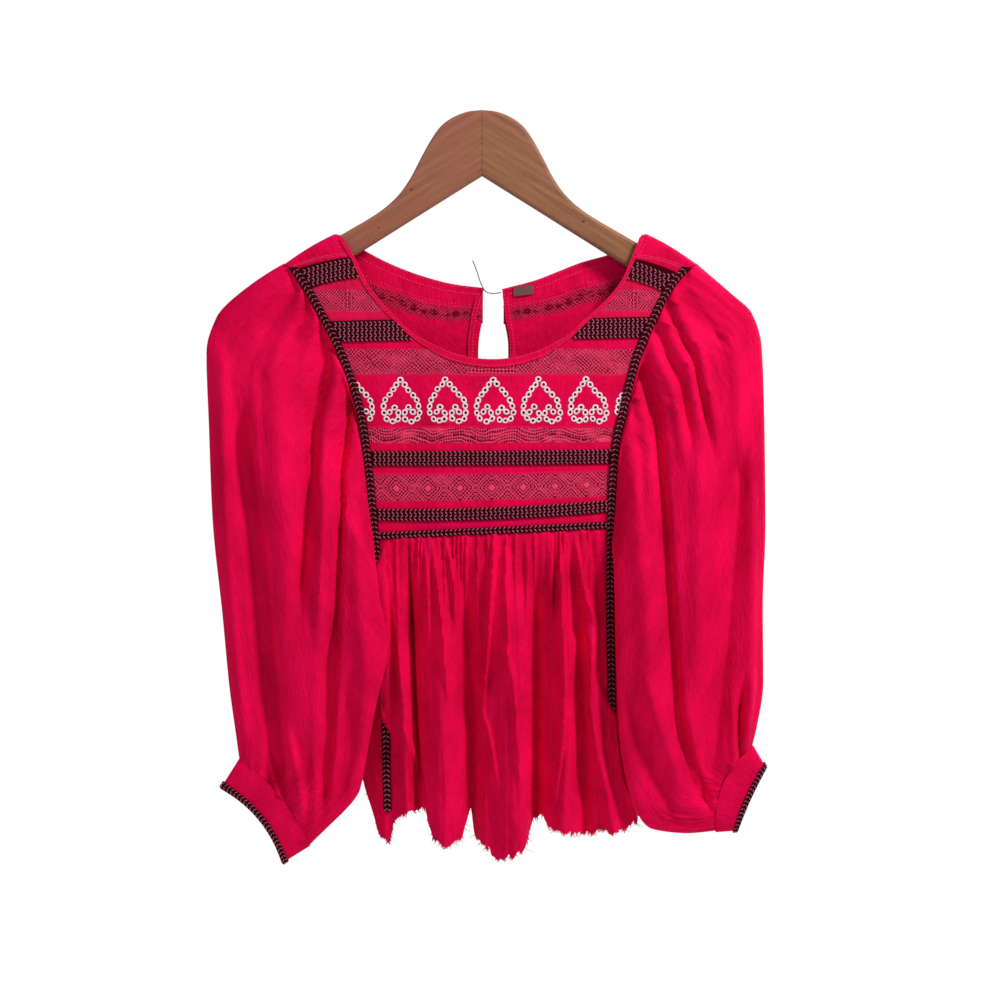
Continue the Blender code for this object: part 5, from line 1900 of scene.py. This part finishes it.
def build_cuffs():
    for label, stations in (("left", LEFT_CUFF), ("right", RIGHT_CUFF)):
        grid = cuff_grid(stations, np.linspace(-0.04, 1.0, 20), 0.5)
        sewn("cuff_" + label, grid, "gauze", closed_round=True)
        edge = cuff_grid(stations, np.linspace(1 - CUFF_BRAID_SHARE, 1.0, 5), LAID_ON + 0.4)
        name = "cuff_braid_" + label
        sewn(name, edge, "braid_base", "braid", BRAID, closed_round=True)
        outside = cuff_grid(stations, (1 - CUFF_BRAID_SHARE, 1.0), LAID_ON + 0.4 + BRAID / 2)
        surface, around, height = ring_surface(outside)
        line = np.stack([np.linspace(0, around, 200), np.full(200, height / 2)], -1)
        placed(joined(name + "_stitches", herringbone(surface, line, height, 4.0)), "braid")
        seam = cuff_grid(stations, (0.05, 0.10), CLOTH / 2)
        surface, around, height = ring_surface(seam)
        line = np.stack([np.linspace(0, around, 200), np.full(200, height / 2)], -1)
        stitching("cuff_stitching_" + label, [stitch_line(surface, line)])


# ---- The add-on ----


def colour_property(name, description, default):
    return bpy.props.FloatVectorProperty(
        name=name, description=description, default=default, subtype="COLOR", min=0.0, max=1.0
    )


class BlouseColours(bpy.types.PropertyGroup):
    """Colours of the blouse and its hanger."""

    gauze_bright: colour_property("Gauze, bright", "Gauze in the light", (0.92, 0.0015, 0.078))
    # The deep gauze colour is also the painted shade of the back yoke's inside.
    gauze_deep: colour_property("Gauze, deep", "Gauze whose threads lie close", (0.50, 0.0, 0.034))
    lace_thread: colour_property("Lace thread", "Thread of the lace", (1.0, 0.095, 0.215))
    lace_shadow: colour_property("Lace holes", "Dark seen through the lace", (0.165, 0.0, 0.014))
    braid_dark: colour_property("Braid", "Dark yarn of the braid", (0.034, 0.0005, 0.004))
    braid_pale: colour_property("Braid zigzag", "Pale yarn of the braid", (0.56, 0.19, 0.25))
    ring_thread: colour_property("Embroidery", "Thread of the embroidered rings", (1.0, 0.88, 0.93))
    wood_brown: colour_property("Wood", "Wood of the hanger", (0.370, 0.155, 0.078))
    wood_dark: colour_property("Wood grain", "Darker grain of the wood", (0.180, 0.068, 0.034))


def length_property(name, description, default):
    return bpy.props.FloatProperty(
        name=name, description=description, default=default, min=0.0, unit="LENGTH", precision=4
    )


class BlouseSizes(bpy.types.PropertyGroup):
    """Sizes of the needlework."""

    motif_pitch: length_property("Motif pitch", "From one embroidered arch to the next", 0.0443)
    ring_width: length_property("Ring width", "Across one embroidered ring", 0.0060)
    fray: length_property("Fray", "Longest loose thread at the hems", 0.0036)


def area_light(name, place, target, size, power):
    light = bpy.data.lights.new(name, "AREA")
    light.shape = "DISK"
    light.size = size
    light.energy = power
    obj = bpy.data.objects.new(name, light)
    obj.location = place
    obj.rotation_euler = (Vector(target) - obj.location).to_track_quat("-Z", "Y").to_euler()
    bpy.context.scene.collection.objects.link(obj)


# Soft lights, in metres and watts. Columns: name, place, size, power
LIGHTS = (
    ("key", (1.20, -1.0, 1.05), 0.45, 40.0),
    ("fill", (-1.3, -1.9, 0.9), 1.3, 11.0),
    ("behind", (2.1, 1.7, 0.8), 1.0, 60.0),
    ("beside", (-2.4, -0.1, 0.3), 1.0, 9.0),
)
ROOM_LIGHT = 0.17
CAMERA_DISTANCE = 2.639
CAMERA_SHIFT = (0.0132, -0.0137)  # from the middle of the CAD box, along X and Z
CAMERA_LENS = 100.0
FLOOR_DROP = 0.44  # from the lowest point of the cloth down to the floor


def build_stage():
    scene = bpy.context.scene
    scene.view_settings.view_transform = "Standard"
    low, high = CAD_BOX
    middle = (low + high) / 2
    camera = bpy.data.cameras.new("camera")
    camera.lens = CAMERA_LENS
    camera.sensor_width = 36.0
    eye = bpy.data.objects.new("camera", camera)
    eye.location = (middle.x + CAMERA_SHIFT[0], -CAMERA_DISTANCE, middle.z + CAMERA_SHIFT[1])
    eye.rotation_euler = (math.pi / 2, 0.0, 0.0)
    scene.collection.objects.link(eye)
    scene.camera = eye

    bpy.ops.object.select_all(action="DESELECT")
    bpy.ops.mesh.primitive_plane_add(size=3.0, location=(0.0, 0.0, low.z - FLOOR_DROP))
    floor = bpy.context.object
    floor.name = "floor"
    paint = Finish("floor_paint", {"Roughness": 0.9})
    x, y, _ = paint.solid_places()
    patch = paint.noise(x * 0.004, y * 0.004)
    paint.colour(paint.mix(patch * 0.3, (0.93, 0.93, 0.93), (0.88, 0.88, 0.88)))
    floor.data.materials.append(paint.material)
    bpy.ops.object.transform_apply(location=True, rotation=True, scale=True)

    world = bpy.data.worlds.new("studio")
    world.use_nodes = True
    scene.world = world
    tree = world.node_tree
    soft = tree.nodes["Background"]
    plain = tree.nodes.new("ShaderNodeBackground")
    for node, strength in ((soft, ROOM_LIGHT), (plain, 1.0)):
        node.inputs["Color"].default_value = (1.0, 1.0, 1.0, 1.0)
        node.inputs["Strength"].default_value = strength
    path = tree.nodes.new("ShaderNodeLightPath")
    mixed = tree.nodes.new("ShaderNodeMixShader")
    tree.links.new(path.outputs["Is Camera Ray"], mixed.inputs["Fac"])
    tree.links.new(soft.outputs[0], mixed.inputs[1])
    tree.links.new(plain.outputs[0], mixed.inputs[2])
    tree.links.new(mixed.outputs[0], tree.nodes["World Output"].inputs["Surface"])

    target = (middle.x, 0.0, middle.z)
    for name, place, size, power in LIGHTS:
        area_light(name, place, target, size, power)


def build_finishes(colours):
    gauze(colours)
    # A second gauze, darkened a quarter of the way to the deep colour as painted shade, for the
    # back yoke's inside.
    gauze(colours, "gauze_painted_shade", 0.25)
    for name, holes in (
        ("front_lace", front_lace_holes),
        ("wavy_lace", wavy_lace_holes),
        ("diamond_lace", diamond_lace_holes),
        ("back_lace", back_lace_holes),
        ("upper_lace", upper_lace_holes),
    ):
        # The back lace takes less of the pale thread colour than the front laces, which darkens it
        # as painted shade.
        lace(name, holes, colours, pale=0.22 if name == "back_lace" else 0.50)
    braid_yarn("braid_base", (0.080, 0.001, 0.009), (0.020, 0.0, 0.002), 0.4)
    braid_yarn("braid_dark", colours.braid_dark, (0.080, 0.001, 0.010), 1.3)
    spun_thread("braid_pale", colours.braid_pale, (0.32, 0.085, 0.13))
    spun_thread("ring_thread", colours.ring_thread, (1.0, 0.74, 0.82), fuzz=0.3)
    # Colour of the discs in the rings' middles: painted shade seen through the eyelets.
    spun_thread("eyelet_shade", (0.16, 0.002, 0.02), (0.07, 0.001, 0.008))
    spun_thread("stitching", (1.0, 0.10, 0.22), (0.75, 0.02, 0.10))
    spun_thread("frayed_thread", (0.90, 0.010, 0.100), (0.60, 0.002, 0.050))
    spun_thread("loop_thread", (0.16, 0.035, 0.05), (0.05, 0.015, 0.02))
    # Dark brown of the strip in the hanger's joint: painted shade of the gap.
    spun_thread("seam_shade_strip", (0.045, 0.014, 0.008), (0.02, 0.006, 0.004))
    hanger_wood(colours)
    label_cloth()


def dress_hanger():
    """The hanger keeps its CAD shape and takes its wood."""
    for label in ("left", "right"):
        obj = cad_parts["hanger_" + label]
        obj.data.materials.clear()
        obj.data.materials.append(bpy.data.materials["hanger_wood"])
    bpy.ops.object.select_all(action="DESELECT")
    # A thin dark strip fills the joint between the halves, as painted shade of the gap.
    bpy.ops.mesh.primitive_cube_add(size=1.0, location=(0.0, 0.0, SEAM_SHADE_MIDDLE * MM))
    seam_shade = bpy.context.object
    seam_shade.name = seam_shade.data.name = "hanger_seam_shade_strip"
    bpy.ops.transform.resize(value=[length * MM for length in SEAM_SHADE_SIZE])
    bpy.ops.object.transform_apply(location=True, rotation=True, scale=True)
    bpy.ops.object.mode_set(mode="EDIT")
    bpy.ops.mesh.select_all(action="SELECT")
    bpy.ops.mesh.bevel(offset=0.06 * MM, segments=2)
    bpy.ops.object.mode_set(mode="OBJECT")
    seam_shade.data.materials.append(bpy.data.materials["seam_shade_strip"])
    placed(seam_shade, "wood")


class BLOUSE_OT_finishes(bpy.types.Operator):
    """Make the cloth, lace, yarn, thread and wood"""

    bl_idname = "blouse.finishes"
    bl_label = "Finishes"

    def execute(self, context):
        build_finishes(context.scene.blouse_colours)
        return {"FINISHED"}


class BLOUSE_OT_stage(bpy.types.Operator):
    """Set the camera, the pale floor and the soft lights"""

    bl_idname = "blouse.stage"
    bl_label = "Stage"

    def execute(self, context):
        build_stage()
        return {"FINISHED"}


class BLOUSE_OT_thread(bpy.types.Operator):
    """Tie the thread across the top of the keyhole"""

    bl_idname = "blouse.thread"
    bl_label = "Keyhole thread"

    def execute(self, context):
        build_thread()
        return {"FINISHED"}


class BLOUSE_OT_hanger(bpy.types.Operator):
    """Finish the wooden hanger"""

    bl_idname = "blouse.hanger"
    bl_label = "Hanger"

    def execute(self, context):
        dress_hanger()
        return {"FINISHED"}


class BLOUSE_OT_yoke(bpy.types.Operator):
    """Sew the plain strips, the lace strips and the shoulders of the front yoke"""

    bl_idname = "blouse.yoke"
    bl_label = "Front yoke"

    def execute(self, context):
        build_front_strips()
        build_front_lace()
        build_side_strips()
        build_shoulders()
        return {"FINISHED"}


class BLOUSE_OT_neck_binding(bpy.types.Operator):
    """Bind the front neckline"""

    bl_idname = "blouse.neck_binding"
    bl_label = "Neck binding"

    def execute(self, context):
        build_neck_binding()
        return {"FINISHED"}


class BLOUSE_OT_braids(bpy.types.Operator):
    """Lay the plaited braids across the front yoke"""

    bl_idname = "blouse.braids"
    bl_label = "Braids"

    def execute(self, context):
        build_braids()
        return {"FINISHED"}


class BLOUSE_OT_trims(bpy.types.Operator):
    """Lay the narrow herringbone trims from the shoulders to the hem"""

    bl_idname = "blouse.trims"
    bl_label = "Front trims"

    def execute(self, context):
        build_trims()
        return {"FINISHED"}


class BLOUSE_OT_embroidery(bpy.types.Operator):
    """Embroider the ringed arches"""

    bl_idname = "blouse.embroidery"
    bl_label = "Embroidery"

    def execute(self, context):
        build_embroidery(context.scene.blouse_sizes)
        return {"FINISHED"}


class BLOUSE_OT_skirts(bpy.types.Operator):
    """Gather the front and the back skirt, with their frayed hems"""

    bl_idname = "blouse.skirts"
    bl_label = "Skirts"

    def execute(self, context):
        build_front_skirt(context.scene.blouse_sizes)
        build_back_skirt(context.scene.blouse_sizes)
        return {"FINISHED"}


class BLOUSE_OT_side_panels(bpy.types.Operator):
    """Hang the panels that join the front to the back under the sleeves"""

    bl_idname = "blouse.side_panels"
    bl_label = "Side panels"

    def execute(self, context):
        build_side_panels(context.scene.blouse_sizes)
        return {"FINISHED"}


class BLOUSE_OT_back(bpy.types.Operator):
    """Sew the back yoke, its bands, its lace and the keyhole's bindings"""

    bl_idname = "blouse.back"
    bl_label = "Back"

    def execute(self, context):
        build_back_yokes()
        build_back_bands()
        build_keyhole_bindings()
        return {"FINISHED"}


class BLOUSE_OT_label(bpy.types.Operator):
    """Sew in the plain woven tab"""

    bl_idname = "blouse.label"
    bl_label = "Woven tab"

    def execute(self, context):
        build_label()
        return {"FINISHED"}


class BLOUSE_OT_sleeves(bpy.types.Operator):
    """Gather the full sleeves"""

    bl_idname = "blouse.sleeves"
    bl_label = "Sleeves"

    def execute(self, context):
        build_sleeves()
        return {"FINISHED"}


class BLOUSE_OT_cuffs(bpy.types.Operator):
    """Sew the cuffs and their braid"""

    bl_idname = "blouse.cuffs"
    bl_label = "Cuffs"

    def execute(self, context):
        build_cuffs()
        return {"FINISHED"}


class BLOUSE_OT_sheets(bpy.types.Operator):
    """A step that does nothing."""

    bl_idname = "blouse.sheets"
    bl_label = "Flat sizes"

    def execute(self, context):
        return {"FINISHED"}


STEPS = (
    BLOUSE_OT_stage,
    BLOUSE_OT_finishes,
    BLOUSE_OT_thread,
    BLOUSE_OT_hanger,
    BLOUSE_OT_yoke,
    BLOUSE_OT_neck_binding,
    BLOUSE_OT_braids,
    BLOUSE_OT_trims,
    BLOUSE_OT_embroidery,
    BLOUSE_OT_skirts,
    BLOUSE_OT_side_panels,
    BLOUSE_OT_back,
    BLOUSE_OT_label,
    BLOUSE_OT_sleeves,
    BLOUSE_OT_cuffs,
    BLOUSE_OT_sheets,
)


class BLOUSE_PT_panel(bpy.types.Panel):
    """The blouse's colours, sizes and steps"""

    bl_idname = "BLOUSE_PT_panel"
    bl_label = "Peasant blouse"
    bl_space_type = "VIEW_3D"
    bl_region_type = "UI"
    bl_category = "Blouse"

    def draw(self, context):
        for group in (context.scene.blouse_colours, context.scene.blouse_sizes):
            for key in group.__annotations__:
                self.layout.prop(group, key)
        for step in STEPS:
            self.layout.operator(step.bl_idname)


CLASSES = (BlouseColours, BlouseSizes, *STEPS, BLOUSE_PT_panel)


def register():
    for made in CLASSES:
        bpy.utils.register_class(made)
    bpy.types.Scene.blouse_colours = bpy.props.PointerProperty(type=BlouseColours)
    bpy.types.Scene.blouse_sizes = bpy.props.PointerProperty(type=BlouseSizes)


def unregister():
    del bpy.types.Scene.blouse_sizes
    del bpy.types.Scene.blouse_colours
    for made in reversed(CLASSES):
        bpy.utils.unregister_class(made)


def main():
    register()
    bpy.ops.blouse.stage()
    bpy.ops.blouse.finishes()
    bpy.ops.blouse.thread()
    bpy.ops.blouse.hanger()
    bpy.ops.blouse.yoke()
    bpy.ops.blouse.neck_binding()
    bpy.ops.blouse.braids()
    bpy.ops.blouse.trims()
    bpy.ops.blouse.embroidery()
    bpy.ops.blouse.skirts()
    bpy.ops.blouse.side_panels()
    bpy.ops.blouse.back()
    bpy.ops.blouse.label()
    bpy.ops.blouse.sleeves()
    bpy.ops.blouse.cuffs()
    bpy.ops.blouse.sheets()


if __name__ == "__main__":
    main()
